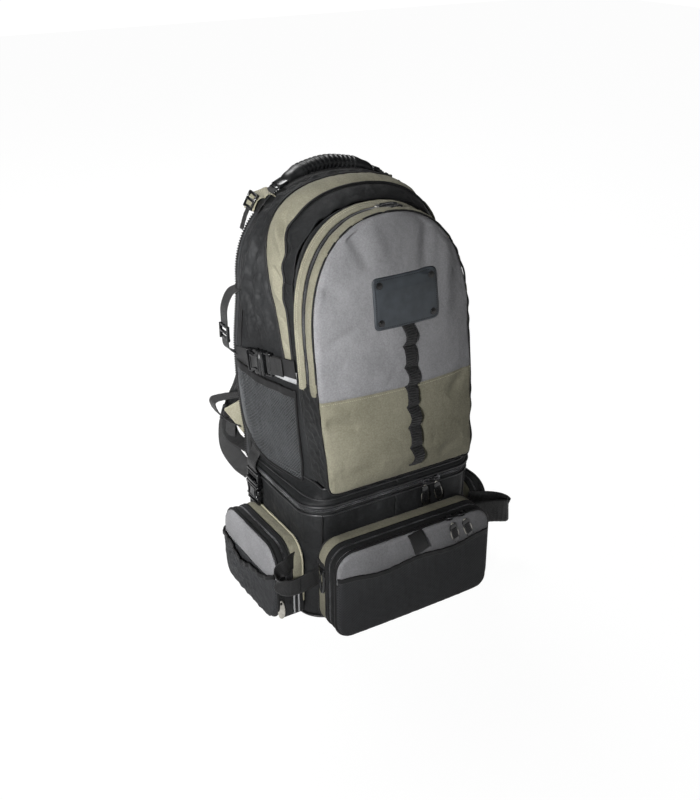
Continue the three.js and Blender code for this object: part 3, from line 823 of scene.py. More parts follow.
def build_bands():
    length = BAND_LINE.length

    def band(name, body, rear, front, look, bulge, fold, seed, pitch):
        def place(u, v):
            z = BAND_LINE.at(u)[:, 1]
            y = rear(z) + (front(z) - rear(z)) * v
            run, wide = u * length, np.abs(rear(z) - front(z))
            edge = hump(v) ** 0.55
            full = np.clip(wide / 30, 0.25, 1)
            out = (bulge * edge + fold * edge * folds(run, y * 1.4, 55, seed)) * full
            calm = ease(1, 0.8, v) if body == "pack" else ease(0, 0.2, v)
            out = out + puckers(run, (1 - v) * wide, pitch, seed + 1, 9) * 2.4 * full * calm
            for start, end, width, height in BAND_FOLDS:
                out = out + 1.5 * calm * crease(y, z, start, end, width, height)
            y = y + notch(z) * (v if body == "pack" else 1 - v)
            return on_shell(BAND_LINE, u, y, out)

        piece = store(name, skin(420, 26, place, (length, 60)), look)
        return thicken(piece, 3)

    olive = band("olive_band_cover", "pack", lambda z: olive_back(z) - 0.4, lambda z: band_back(z) + 0.8,
                 OLIVE, 3.2, 0.7, 21, 34)
    dress(olive, "pack", "olive_fabric", "olive_band")
    black = band("lid_band_cover", "lid", lambda z: band_back(z) - 0.8, lambda z: lid_back(z) + 0.6,
                 BLACK_DEEP, 1.6, 0.5, 31, 41)
    dress(black, "lid", "black_fabric", "lid_band")
    for name, seam in (("olive_rear_piping", olive_back),
                       ("olive_front_piping", lambda z: band_back(z) + notch(z))):
        line = shell_line(BAND_LINE, seam, 1.2, start=0.02, stop=0.98)
        dress(tube(name, line, 1.9, BINDING), "pack")
    for side, share in (("left", 0.21), ("right", 0.79)):
        z = BAND_LINE.at(np.array([share]))[:, 1]
        rear, front = band_back(z) + notch(z), lid_back(z)
        depth = np.linspace(0.5, -0.5, 30) * (rear - front - 3) + (rear + front) / 2
        cross = Trace(on_shell(BAND_LINE, share + 0 * depth, depth, 1.8))
        dress(tube(f"lid_band_{side}_seam", cross, 0.9, BINDING), "lid")


# ---- front pocket of the lid ----
def shrink(line, share, inset):
    return line.at(share) - line.out(share) * np.reshape(inset, (-1, 1))


def build_gusset():
    """Side of the front pocket: an olive strip, the zip and another olive strip, black below the waist."""
    length = GUSSET_LINE.length
    share = np.linspace(0, 1, 4000)
    height = GUSSET_LINE.at(share)[:, 1]
    left = share[(height > WAIST - 16) & (share < 0.5)].min()

    def strip(name, start, stop, out_at, look, thickness=2.0, low=0.0, high=1.0, round_end=0.0, along=12):
        def place(u, v):
            cap = round_end * (1 - np.sqrt(np.clip(1 - np.clip(2 * v - 1, -1, 1) ** 2, 0, 1))) / length
            u = low + cap + (high - low - 2 * cap) * u
            z = GUSSET_LINE.at(u)[:, 1]
            y = lid_back(z) - start - (stop - start) * v
            flat = shrink(GUSSET_LINE, u, -out_at(u * length, v))
            return stack(flat[:, 0], y, flat[:, 1])
        return thicken(store(name, skin(620, along, place, (length, stop - start), inside=(0, -60, 380)),
                             look), thickness)

    def rear_out(run, v):
        hem = 0.9 * ease(0.56, 0.62, v) - 0.45 * bump(0.22, 0.05, v) - 0.45 * bump(0.42, 0.05, v)
        crumple = 0.5 * folds(run, v * 15, 34, 7) * hump(v)
        return 5.5 - 4.2 * v - 14 * ease(0.1, 0, v) + hem + crumple

    def front_out(run, v):
        gather = puckers(run, (1 - v) * 18, 31, 17, 14)
        return (1.4 + 3.0 * np.sin(np.pi * np.clip(v, 0, 1)) ** 0.7 - 1.0 * v + 1.6 * gather * (v > 0.02)
                + 0.7 * folds(run, v * 18, 30, 9) * hump(v))

    def tape_out(run, v):
        return 0.9 - 0.5 * hump(v)

    def foot_out(run, v):
        wave = folds(run * 0.25, v * 60, 22, 15) * 1.6 + folds(run, v * 45, 45, 16)
        return 2.8 - 2.0 * v - 12 * ease(0.06, 0, v) + hump(v) ** 0.6 * (1.4 + wave)

    rear = strip("gusset_rear_strip", 0, 15, rear_out, OLIVE, low=left, high=1 - left, along=26)
    dress(rear, "lid", "olive_fabric", "front_gusset")
    front = strip("gusset_front_strip", 24.5, 41.5, front_out, OLIVE, low=left, high=1 - left, round_end=8)
    dress(front, "front_panel", "olive_fabric")
    foot = strip("gusset_foot", 0, 40, foot_out, BLACK_DEEP, low=1 - left - 0.01, high=1 + left + 0.01,
                 along=26)
    dress(foot, "lid")
    for name, start, stop, body in (("front_zip_rear_tape", 14, 19.4, "lid"),
                                    ("front_zip_front_tape", 19.9, 25.5, "front_panel")):
        tape = strip(name, start, stop, tape_out, TAPE, thickness=1, low=left, high=1 - left)
        dress(tape, body)
    for name, at, body in (("front_zip_rear_coil", 18.7, "lid"),
                           ("front_zip_front_coil", 20.6, "front_panel")):
        u = np.linspace(left, 1 - left, 400)
        z = GUSSET_LINE.at(u)[:, 1]
        flat = shrink(GUSSET_LINE, u, -1.2)
        line = Trace(stack(flat[:, 0], lid_back(z) - at, flat[:, 1]))
        dress(coil(name, line), body)
    for row, v in enumerate((0.22, 0.42)):
        u = np.linspace(left, 1 - left, 500)
        z = GUSSET_LINE.at(u)[:, 1]
        flat = shrink(GUSSET_LINE, u, -rear_out(u * length, v) - 0.35)
        line = Trace(stack(flat[:, 0], lid_back(z) - 15 * v, flat[:, 1]))
        stitch_row(f"gusset_stitches_{row + 1}", line, lambda s: s - (0, 0, 380) * (s[:, :1] * 0 + 1),
                   OLIVE_THREAD, 2.7, "lid", "olive_fabric", 1.9)


def coil(name, line, pitch=1.5, size=1.1):
    """One side of a coil zip: a row of small teeth along its line."""
    teeth = small_mesh(bar(pitch * 0.62, 2 * size, size, 0.3))
    share = spaced(line.length, pitch)
    spots, ways = line.at(share), line.along(share)
    middle = np.array((0, spots[:, 1].mean(), spots[:, 2].mean() - 40))
    return repeat(name, teeth, [(s, w, s - middle) for s, w in zip(spots, ways)], COIL)


PANEL_FOLDS = (((-64, 552), (-36, 486), 10, -3.2), ((-34, 556), (-16, 500), 11, 2.0),
               ((58, 545), (42, 470), 9, -2.6), ((84, 520), (74, 410), 11, 2.4),
               ((-112, 470), (-70, 462), 6, -1.6), ((-108, 398), (-60, 420), 7, -1.4),
               ((-112, 302), (-70, 292), 6, -3.0), ((-110, 318), (-80, 312), 5, 1.6),
               ((104, 330), (70, 300), 8, -1.8), ((-96, 232), (-40, 238), 10, -1.6),
               ((92, 240), (50, 225), 8, -1.5), ((-20, 350), (-80, 380), 14, 1.4))


def panel_bulge(x, z):
    """How far the front panel swells out of its plane."""
    half = np.interp(z, [PANEL_FOOT, WAIST, 430, 470, 500, 525, GUSSET_TOP], [113, 117, 115, 104, 90, 66, 20])
    across = np.clip(1 - (x / half) ** 2, 0, 1)
    up = np.clip((z - PANEL_FOOT) / 34, 0, 1) * np.clip((GUSSET_TOP - z) / 90, 0, 1)
    swell = (12.5 + 3.5 * bump(PANEL_FOOT + 40, 90, z)) * across ** 0.85 * up ** 0.5
    seam = -1.3 * np.exp(-((z - PANEL_SEAM) / 2.2) ** 2) * (across > 0)
    for start, end, width, height in PANEL_FOLDS:
        swell = swell + 1.7 * crease(x, z, start, end, width, height) * np.clip(across * 6, 0, 1)
    return swell + seam + 0.8 * patches(x, z, 120, 12) * across


def pillow(around, inward, outline, face, back, roll, middle, axes=(0, 2), relief=None):
    """A puffed panel: its face, a rolled edge and a side wall back to the depth back(a, b).

    The outline lies in the plane of the two axes; face(a, b) is the depth of the face there."""
    depth_axis = 3 - sum(axes)

    def place(u, v):
        rim, normal = outline.at(u), outline.out(u)
        inner = rim - normal * roll
        share = np.clip(v / 0.72, 0, 1)[:, None] ** 0.85
        turn = np.clip((v - 0.72) / 0.2, 0, 1) * np.pi / 2
        flat = np.array(middle) + (inner - np.array(middle)) * share + normal * (roll * np.sin(turn))[:, None]
        front = face(flat[:, 0], flat[:, 1])
        deep = back(flat[:, 0], flat[:, 1])
        curl = (1 - np.cos(turn)) * roll
        if relief is not None:
            reach = np.linalg.norm(rim - np.array(middle), axis=1) * (1 - np.clip(v / 0.92, 0, 1))
            curl = curl + relief(u * outline.length, reach)
        wall = np.clip((v - 0.92) / 0.08, 0, 1)
        level = front + curl
        spots = np.zeros((len(u), 3))
        spots[:, axes[0]], spots[:, axes[1]] = flat[:, 0], flat[:, 1]
        spots[:, depth_axis] = level + (deep - level) * wall
        return spots

    bm = skin(around, inward, place, inside=(middle[0], 0, middle[1]))
    return flat_map(bm, axes)


def flat_map(bm, axes=(0, 2)):
    """Lays the cloth's UV map straight over a face, seen along the remaining axis."""
    layer = bm.loops.layers.uv.verify()
    for face in bm.faces:
        for loop in face.loops:
            loop[layer].uv = (loop.vert.co[axes[0]], loop.vert.co[axes[1]])
    return bm


def lay_flat(piece):
    """Gives a finished piece the UV map of a flat sheet, which a remesh has taken from it."""
    bm = bmesh.new()
    bm.from_mesh(piece.data)
    flat_map(bm).to_mesh(piece.data)
    bm.free()


def build_front_panel():
    def face(x, z):
        return panel_face(z) - panel_bulge(x, z)

    def back(x, z):
        return panel_face(z) + PANEL_THICKNESS - 2

    def gathers(run, reach):
        share = run / GUSSET_LINE.length
        calm = ease(0, 0.03, share) * ease(1, 0.97, share)
        return (1.1 * puckers(run, reach, 31, 17, 20) + 2.0 * puckers(run, reach, 73, 18, 38)) * calm

    panel_line = arch(**{**GUSSET, "low": PANEL_FOOT - 3})
    for name, look, finish, node, keep in (("grey_panel_cover", GREY, "grey_fabric", "grey_panel", 1),
                                           ("olive_panel_cover", OLIVE, "olive_fabric", "olive_panel", -1)):
        bm = pillow(420, 80, panel_line, face, back, 6, (0, 350), relief=gathers)
        bmesh.ops.bisect_plane(bm, geom=bm.verts[:] + bm.edges[:] + bm.faces[:], dist=1e-6,
                               plane_co=(0, 0, PANEL_SEAM * MM), plane_no=(0, 0, -keep), clear_outer=True)
        panel = thicken(store(name, bm, look), 3)
        dress(panel, "front_panel", finish, node)
    share = np.linspace(0, 1, 500)[:-1]
    run = share * GUSSET_LINE.length
    kinks = puckers(run, 0 * run, 31, 17, 20) * ease(0, 0.03, share) * ease(1, 0.97, share)
    flat = shrink(panel_line, share, -0.9 + 0.6 * kinks)
    depth = panel_face(flat[:, 1]) + 4.0 + 1.2 * kinks
    rim = Trace(stack(flat[:, 0], depth, flat[:, 1]), closed=True)
    dress(tube("front_panel_piping", rim, 1.35, BINDING, steps=460), "front_panel")
    seam = np.linspace(-GUSSET_WAIST + 3, GUSSET_WAIST - 3, 80)
    line = Trace(on_panel(seam, PANEL_SEAM - 2.6, 0.5))
    stitch_row("panel_seam_stitches", line, lambda s: s * 0 + (0, -1, 0.13), OLIVE_THREAD, 2.8, "front_panel",
               "olive_fabric", 2.0)


# ---- hip pack ----
def hip_outline(out=0.0):
    """The hip pack's outline seen from above, in x and y, clockwise."""
    return rounded(HIP_HALF_WIDTH + out, -HIP_HALF_DEPTH - out, HIP_HALF_DEPTH + out, HIP_CORNER + out)


def build_hip_body():
    line = hip_outline()

    def place(u, v):
        rim, normal = line.at(u), line.out(u)
        run = u * line.length
        z = np.interp(v, [0, 0.12, 0.2, 1.0], [3.6, 3.6, 7, HIP_TOP])
        inset = np.interp(v, [0, 0.12, 0.15, 0.2], [33, 7, 2, 0])
        wall = ease(5, 40, z)
        out = wall * (1.6 * folds(run, z * 0.6, 85, 41) + 1.2 * folds(z, run, 70, 42)) * 0.7 - inset
        out = out + puckers(run, HIP_TOP - z, 38, 43, 22) * 1.3
        flat = rim + normal * np.reshape(np.minimum(out, 2.2), (-1, 1))
        return stack(flat[:, 0], flat[:, 1], z)

    bm = skin(320, 56, place, (line.length, HIP_TOP), inside=(0, 0, 100))
    bmesh.ops.holes_fill(bm, edges=[e for e in bm.edges if e.is_boundary and e.verts[0].co.z < 0.02], sides=0)
    bmesh.ops.recalc_face_normals(bm, faces=bm.faces[:])
    bm.normal_update()
    face_away(bm, BAG_MIDDLE)
    body = thicken(store("hip_pack_body", bm, BLACK), 3)
    dress(body, "hip_pack", "black_fabric", "hip_wall", "hip_base")
    for name, z, out, radius in (("hip_foot_piping", 6.5, 0.6, 2.0),
                                 ("hip_top_piping", HIP_TOP - 3, 1.5, 1.8)):
        rim = hip_outline(out)
        loop = Trace([(p[0], p[1], z) for p in rim.points[:-1]], closed=True)
        dress(tube(name, loop, radius, PIPING), "hip_pack")


def build_joining_zip():
    base = (ZIP_LOW[2] + ZIP_HIGH[2]) / 2
    line = hip_outline(1.2)
    for name, low, high in (("joining_lower_tape", ZIP_LOW[2] - 1, base - 0.2),
                            ("joining_upper_tape", base + 0.2, ZIP_HIGH[2] + 0.3)):
        def place(u, v):
            rim = line.at(u)
            bow = line.out(u) * (0.8 * hump(v))[:, None]
            return stack(*(rim + bow).T, low + (high - low) * v)

        tape = thicken(store(name, skin(240, 5, place, (line.length, high - low), inside=(0, 0, base)),
                             TAPE), 1.4)
        dress(tape, "hip_pack", "black_fabric", *(["joining_zip"] if "lower" in name else []))
    rim = hip_outline(2.4)
    for name, z in (("joining_lower_coil", base - 1.1), ("joining_upper_coil", base + 1.1)):
        teeth = small_mesh(bar(1.0, 1.0, 2.0, 0.3))
        share = spaced(rim.length, COIL_PITCH)
        places = [((*rim.at(s), z), (*rim.along(s), 0), (*rim.out(s), 0)) for s in share]
        dress(repeat(name, teeth, places, COIL), "hip_pack")


class Seat:
    """A pocket's own frame: x across it, y out of the bag to its face as -y, z up."""

    def __init__(self, spot, turn):
        self.turn = Matrix.Translation(Vector(spot) * MM) @ Matrix.Rotation(turn, 4, "Z")


FRONT_SEAT = Seat((0, -HIP_HALF_DEPTH, 0), 0)
LEFT_SEAT = Seat((-HIP_HALF_WIDTH, 0, 0), -math.pi / 2)
RIGHT_SEAT = Seat((HIP_HALF_WIDTH, 0, 0), math.pi / 2)


def seated(piece, seat):
    piece.data.transform(seat.turn)
    return piece


def build_zip_pocket(name, seat, lid, half, low, high, depth, corner, face, mesh_top, sag, seed):
    """A zipped pocket: olive gusset, black zip band, piping, and a face with a net pocket on it."""
    outline = rounded(half, low, high, corner)
    middle = (0, (low + high) / 2)
    rim = depth - face

    def ring(part, start, stop, bulge, look, out=0.0, thickness=2.0, steps=8):
        def place(u, v):
            y = start + (stop - start) * v
            swell = out + bulge * hump(v) ** 0.6
            at = outline.at(u)
            ground = ease(low + 6, low - 2, at[:, 1])
            swell = swell + 0.5 * folds(u * outline.length, y, 60, seed) * hump(v)
            swell = swell * (1 - ground)
            flat = at + outline.out(u) * swell[:, None]
            return stack(flat[:, 0], -y, flat[:, 1])
        bm = skin(260, steps, place, (outline.length, stop - start), inside=(0, -rim / 2, middle[1]))
        return seated(thicken(store(f"{name}_{part}", bm, look), thickness), seat)

    def rim_line(y, out):
        share = np.linspace(0, 1, 241)[:-1]
        flat = outline.at(share) + outline.out(share) * out
        return Trace([(p[0], -y, p[1]) for p in flat], closed=True)

    split = rim * 0.52
    dress(ring("olive_gusset", 0.6, split, 1.6, OLIVE), "hip_pack", "olive_fabric", f"{name}_gusset")
    dress(seated(tube(f"{name}_rear_piping", rim_line(1.8, 0.8), 1.5, TAN_BINDING if sag else BINDING), seat),
          "hip_pack", "olive_fabric")
    dress(seated(tube(f"{name}_seam_piping", rim_line(split, 0.9), 1.4, BINDING), seat), "hip_pack")
    dress(ring("zip_rear_tape", split, split + (rim - split) * 0.42, 1.2, TAPE, 0.6), "hip_pack")
    zip_at = split + (rim - split) * 0.5
    dress(ring("zip_front_tape", zip_at + 1.4, rim + 1.5, 1.4, TAPE, 0.6), lid)
    for part, y, body in (("zip_rear_coil", zip_at - 1.0, "hip_pack"), ("zip_front_coil", zip_at + 1.0, lid)):
        line = rim_line(y, 0.2)
        teeth = small_mesh(bar(1.0, 2.0, 1.0, 0.3))
        share = spaced(line.length, COIL_PITCH)
        spots, ways = line.at(share), line.along(share)
        centre = np.array((0, -y, middle[1]))
        places = [(s, w, s - centre) for s, w in zip(spots, ways)]
        dress(seated(repeat(f"{name}_{part}", teeth, places, COIL), seat), body)

    swell = 4.5

    def front(x, z):
        across = np.clip(1 - (np.abs(x) / half) ** 3, 0, 1)
        up = np.clip(1 - (np.abs(z - middle[1]) / ((high - low) / 2)) ** 3, 0, 1)
        return -(depth - 2) - swell * (across * up) ** 0.5 + 0.8 * patches(x, z, 80, seed + 2) * across * up

    def face_skin():
        return pillow(260, 44, outline, front, lambda x, z: -rim + 0 * x, 5, middle)

    cover = seated(thicken(store(f"{name}_face_cover", face_skin(), GREY), 2.5), seat)
    dress(cover, lid, "grey_fabric", f"{name}_face")
    bm = face_skin()
    bmesh.ops.bisect_plane(bm, geom=bm.verts[:] + bm.edges[:] + bm.faces[:], dist=1e-6,
                           plane_co=(0, 0, (mesh_top - 5) * MM), plane_no=(0, 0, 1), clear_outer=True)
    under = thicken(store(f"{name}_net_ground", bm, NET), 0.9, offset=1.0)
    dress(seated(under, seat), lid, "mesh")
    dress(seated(tube(f"{name}_face_piping", rim_line(depth - 6.5, 0.9), 2.1, BINDING), seat), lid)

    def net(u, v):
        top = mesh_top - sag * hump(u) ** 1.2 + 3 * np.sin(CYCLE * 2.3 * u + seed)
        z_low = low + 1.5
        z = z_low + (top - z_low) * v
        round_foot = corner - np.sqrt(np.maximum(corner ** 2 - np.maximum(corner - (z - low), 0) ** 2, 0))
        x = (2 * u - 1) * (half - 0.5 - round_foot)
        edge = hump(u) ** 0.4
        loose = (1.5 + (5.5 if sag else 1.8) * v ** 1.5) * edge
        ripple = (1.9 if sag else 0.7) * folds(x, z * 0.45, 34, seed + 5) * edge * (0.3 + v)
        ripple = ripple + (1.0 if sag else 0.3) * folds(z + x * 0.6, x, 26, seed + 6) * edge
        roll = 5 * (1 - np.sqrt(1 - np.clip(np.abs(x) - half + 5, 0, 5) ** 2 / 26))
        roll = np.maximum(roll, 5 * (1 - np.sqrt(1 - np.clip(low + 5 - z, 0, 5) ** 2 / 26)))
        return stack(x, front(x, z) - 0.8 - loose - ripple + roll, z)

    pocket = store(f"{name}_net", skin(120, 40, net, (2 * half, mesh_top - low), inside=(0, 0, middle[1])),
                   NET)
    dress(seated(thicken(pocket, 1.0), seat), lid, "mesh", f"{name}_mesh")
    share = np.linspace(0, 1, 80)
    hem = Trace(net(share, np.ones(80)) + np.array((0, -0.2, 0)))
    hem_piece = swept(f"{name}_net_hem", hem, cross_section(7, 1.8), (0, 0, 1), BINDING)
    dress(seated(hem_piece, seat), lid)


def build_pockets():
    low, high = corners("front_pocket_gusset")
    face_low, face_high = corners("front_pocket_face")
    net_top = corners("front_pocket_mesh")[1][2]
    build_zip_pocket("front_pocket", FRONT_SEAT, "front_pocket_lid", high[0], low[2], high[2],
                     -HIP_HALF_DEPTH - face_low[1], 26, face_high[1] - face_low[1] + 0.4, net_top, 0, 51)
    for side, seat, seed in (("left", LEFT_SEAT, 61), ("right", RIGHT_SEAT, 71)):
        low, high = corners(f"{side}_pocket_gusset")
        face_low, face_high = corners(f"{side}_pocket_face")
        net_top = corners(f"{side}_pocket_mesh")[1][2]
        build_zip_pocket(f"{side}_pocket", seat, f"{side}_pocket_lid", high[1], low[2], high[2],
                         max(abs(face_low[0]), abs(face_high[0])) - HIP_HALF_WIDTH, 30,
                         face_high[0] - face_low[0] + 0.4, net_top, 14, seed)


# ---- moulded and sewn fittings ----
class Place:
    """A fitting's own frame in space: x, y and z directions at a spot, in millimetres."""

    def __init__(self, spot, x, z):
        x = Vector(x).normalized()
        z = Vector(z)
        z = (z - x * z.dot(x)).normalized()
        self.turn = Matrix((x, z.cross(x), z)).transposed().to_4x4()
        self.turn.translation = Vector(spot) * MM

    def point(self, *p):
        return np.array(self.turn @ (Vector(p) * MM)) / MM

    def way(self, *p):
        return np.array(self.turn.to_3x3() @ Vector(p))


def add_block(bm, low, high, edge=0.6):
    """A bevelled block between two corners, in millimetres."""
    made = bmesh.ops.create_cube(bm, size=1)["verts"]
    size = [h - l for l, h in zip(low, high)]
    bmesh.ops.scale(bm, vec=size, verts=made)
    bmesh.ops.translate(bm, vec=[(h + l) / 2 for l, h in zip(low, high)], verts=made)
    edges = list({e for v in made for e in v.link_edges})
    round_edges(bm, edges, edge)


def add_prism(bm, outline, low, high, edge=0.6):
    """An outline in x and z, given thickness from y = low to y = high, its rims bevelled."""
    points = [bm.verts.new((x, low, z)) for x, z in outline]
    face = bm.faces.new(points)
    made = bmesh.ops.extrude_face_region(bm, geom=[face])["geom"]
    top = [g for g in made if isinstance(g, bmesh.types.BMVert)]
    bmesh.ops.translate(bm, vec=(0, high - low, 0), verts=top)
    rims = [e for v in top + points for e in v.link_edges
            if (e.verts[0] in top) == (e.verts[1] in top)]
    round_edges(bm, list(set(rims)), edge)


def moulding(name, place, build, look):
    """A piece drawn by build(bm) in its own frame, then put in place."""
    bm = bmesh.new()
    build(bm)
    bmesh.ops.recalc_face_normals(bm, faces=bm.faces[:])
    bmesh.ops.scale(bm, vec=(MM, MM, MM), verts=bm.verts[:])
    bmesh.ops.transform(bm, matrix=place.turn, verts=bm.verts[:])
    return store(name, bm, look)


def mirrored(outline):
    """An outline given for +z, closed by its mirror image."""
    return outline + [(x, -z) for x, z in reversed(outline)]


def arc(cx, cz, r, start, stop, steps=6):
    return [(cx + r * math.cos(math.radians(a)), cz + r * math.sin(math.radians(a)))
            for a in np.linspace(start, stop, steps)]


def buckle_socket(name, place):
    """Female half of a side-release buckle; it opens at x = 0, its webbing bars are at x = -30."""
    half = 17
    waist = [(-21, half - 1), *arc(-12.5, half + 3.5, 9, 225, 315, 7), (-4, half)]
    body = mirrored([(-22, half - 2), *waist, (-0.3, half - 0.5)])

    def build(bm):
        add_prism(bm, body, -4.6, 4.6, 1.2)
        add_block(bm, (-30, -3.2, -half + 1), (-27, 3.2, half - 1), 1.2)
        for side in (-1, 1):
            z = sorted((side * (half - 1), side * (half - 4)))
            add_block(bm, (-29.5, -2.8, z[0]), (-20, 2.8, z[1]), 1.0)
        for turn in (1, -1):
            lens = arc(-12.5, 20.5, 11.0, 232, 308, 9) + arc(-12.5, 20.5, 13.4, 302, 238, 9)
            for y in (-5.6, 4.4):
                add_prism(bm, [(x, turn * z) for x, z in lens], y, y + 1.2, 0.35)
        for y in (-5.4, 4.4):
            add_block(bm, (-20.5, y, -9), (-19, y + 1, 9), 0.3)
            add_block(bm, (-5.5, y, -12), (-4.2, y + 1, 12), 0.3)

    return moulding(name, place, build, PLASTIC)


def buckle_tongue(name, place):
    """Male half: two sprung wings that show at the socket's waists, and a crossbar frame for its webbing."""
    half = 17

    def build(bm):
        for side in (-1, 1):
            wing = [(-17.5, side * (half - 4.6)), (-16, side * (half - 1.2)), (-12.5, side * (half + 0.6)),
                    (-8, side * (half - 0.6)), (-5.5, side * (half - 3.4)), (-12, side * (half - 6.2))]
            add_prism(bm, wing, -2.6, 2.6, 0.7)
        add_block(bm, (0.4, -4.4, -half + 0.5), (5.5, 4.4, half - 0.5), 1.3)
        add_block(bm, (16.5, -3.0, -half + 1), (20, 3.0, half - 1), 1.3)
        add_block(bm, (10, -1.8, -half + 3), (12.4, 1.8, half - 3), 0.8)
        for side in (-1, 1):
            z = sorted((side * (half - 1), side * (half - 4)))
            add_block(bm, (4, -2.8, z[0]), (18, 2.8, z[1]), 1.0)

    return moulding(name, place, build, PLASTIC)


def ladder_lock(name, place, width=25):
    """A three-bar strap adjuster, 22 mm long, its lifted end bar towards +x."""
    half = width / 2 + 3.5

    def build(bm):
        for side in (-1, 1):
            z = sorted((side * half, side * (half - 3)))
            add_block(bm, (-11, -2.2, z[0]), (11, 2.2, z[1]), 0.9)
        for x, y in ((-9.3, 0), (-1, 1), (8.5, -1.2)):
            add_block(bm, (x - 1.8, y - 1.8, -half + 1), (x + 1.8, y + 1.8, half - 1), 0.8)

    return moulding(name, place, build, PLASTIC)


def webbing(name, points, across, width=25, thickness=1.7, look=WEBBING, steps=None, wave=0.0, seed=1):
    """A length of flat webbing laid through given points."""
    line = smooth_through(points)

    def lift(run, a, b):
        return wave * folds(run, a * 0.4, 16, seed)

    return swept(name, line, cross_section(width, thickness), across, look,
                 steps or max(8, int(line.length / 2)), lift=lift if wave else None)


def lay(name, body, points, across, node=None, **size):
    """Webbing on a body; node is the frame node it stands for."""
    return dress(webbing(name, points, across, **size), body, "webbing", *([node] if node else []))


def bar_tack(place, width=22):
    """A dense row of stitches across webbing."""
    return [(place.point(0, 0, z), place.way(1, 0, 0.25), place.way(0, -1, 0))
            for z in np.arange(-width / 2, width / 2, 0.9)]


def stitch_row(name, line, out, look=BLACK_THREAD, pitch=3.2, body="pack", finish="black_fabric", length=2.1):
    """A row of stitches along a line in space; out(spots) gives the direction that the cloth faces."""
    stitch = small_mesh(bar(length, 0.7, 0.5, 0.2))
    share = spaced(line.length, pitch)
    spots, ways = line.at(share), line.along(share, 2.0)
    faces = out(spots)
    return dress(repeat(name, stitch, list(zip(spots, ways, faces)), look), body, finish)


def zip_slider(name, place, body, node=None):
    """A slider's body with its bridge; x runs along the zip, -y outwards."""
    def build(bm):
        plate = [(-5.2, 0), (-4.2, 3.4), (1, 4.4), (5.2, 3.2), (5.2, -3.2), (1, -4.4), (-4.2, -3.4)]
        add_prism(bm, plate, -2.6, -1.2, 0.4)
        add_prism(bm, plate, 0.8, 2.0, 0.4)
        add_block(bm, (-4.5, -1.6, -0.9), (-2.5, 1.2, 0.9), 0.3)
        add_block(bm, (-3.8, -5.0, -1.0), (3.6, -4.0, 1.0), 0.4)
        for x in (-3.6, 2.6):
            add_block(bm, (x, -4.6, -1.0), (x + 1, -2.2, 1.0), 0.3)

    return dress(moulding(name, place, build, BLACK_STEEL), body, "steel", *([node] if node else []))


def ribbed_pull(name, place, body, node, length=34):
    """A moulded pull on a wire loop: z down from its top, the grip ribbed on both faces."""
    def build(bm):
        half = 5.2
        outline = [(half * math.sin(math.radians(a)), -8 + half * math.cos(math.radians(a)))
                   for a in range(-90, 91, 18)]
        outline += [(half + 0.4, -16), (half, -length + 3)]
        outline += [(half * math.sin(math.radians(a)), -length + 2.8 + 2.6 * math.cos(math.radians(a)))
                    for a in range(108, 253, 24)]
        outline += [(-half, -length + 3), (-half - 0.4, -16)]
        add_prism(bm, outline, -1.2, 1.2, 0.6)
        for row in range(7):
            z = -11.5 - row * 2.5
            add_block(bm, (-4.2, -2.3, z - 0.7), (4.2, 2.3, z + 0.7), 0.35)

    grip = moulding(name, place, build, PLASTIC)
    dress(grip, body, "plastic", node)
    loop = Trace([place.point(2.2 * math.sin(a), 0, -6.3 + 4.6 * math.cos(a))
                  for a in np.linspace(0, CYCLE, 25)[:-1]], closed=True)
    reach = length / 2 - 3.5
    frame_line = Trace([place.point(5.8 * math.sin(a), 0, -length / 2 - 3.5 + reach * math.cos(a))
                        for a in np.linspace(0, CYCLE, 41)[:-1]], closed=True)
    for part, line, radius in (("wire", loop, 0.7), ("edge", frame_line, 0.75)):
        wire = tube(f"{name}_{part}", line, radius, STEEL, steps=60, around=10)
        wire.parent = grip
    return grip


def teardrop_pull(name, place, body, node, length=29):
    """A cast pull shaped like a drop, with a hole at its top."""
    def outer(u):
        a = u * 2 * np.pi
        wide = 3.6 + 2.2 * (1 - np.cos(a)) / 2
        return stack(wide * np.sin(a), -length / 2 + (length / 2) * np.cos(a))

    def inner(u):
        a = u * 2 * np.pi
        return stack(1.5 * np.sin(a), -4.6 + 2.6 * np.cos(a))

    def ring(u, v):
        flat = inner(u) * (1 - v)[:, None] + outer(u) * v[:, None]
        dish = -0.5 * hump(v)
        return stack(flat[:, 0], -1 - dish * 0.4, flat[:, 1])

    bm = skin(40, 8, ring, (30, 10), inside=(0, 10, -15))
    bmesh.ops.transform(bm, matrix=place.turn, verts=bm.verts[:])
    pull = soften(thicken(store(name, bm, STEEL), 2.0), 0.4)
    return dress(pull, body, "steel", node)


# ---- the rest of the pack ----
LEFT_EDGE = np.array([p for p in MAIN_LINE.points if p[0] < -1 and p[1] > PACK_FOOT + 1])
LEFT_EDGE = LEFT_EDGE[np.argsort(LEFT_EDGE[:, 1])]
SIDE_TURN = math.atan(MAIN["waist"] * SIDE_TAPER)


def side_x(y, z):
    """Half width of the pack at depth y and height z."""
    return np.interp(z, LEFT_EDGE[:, 1], -LEFT_EDGE[:, 0]) * taper(y)[0]


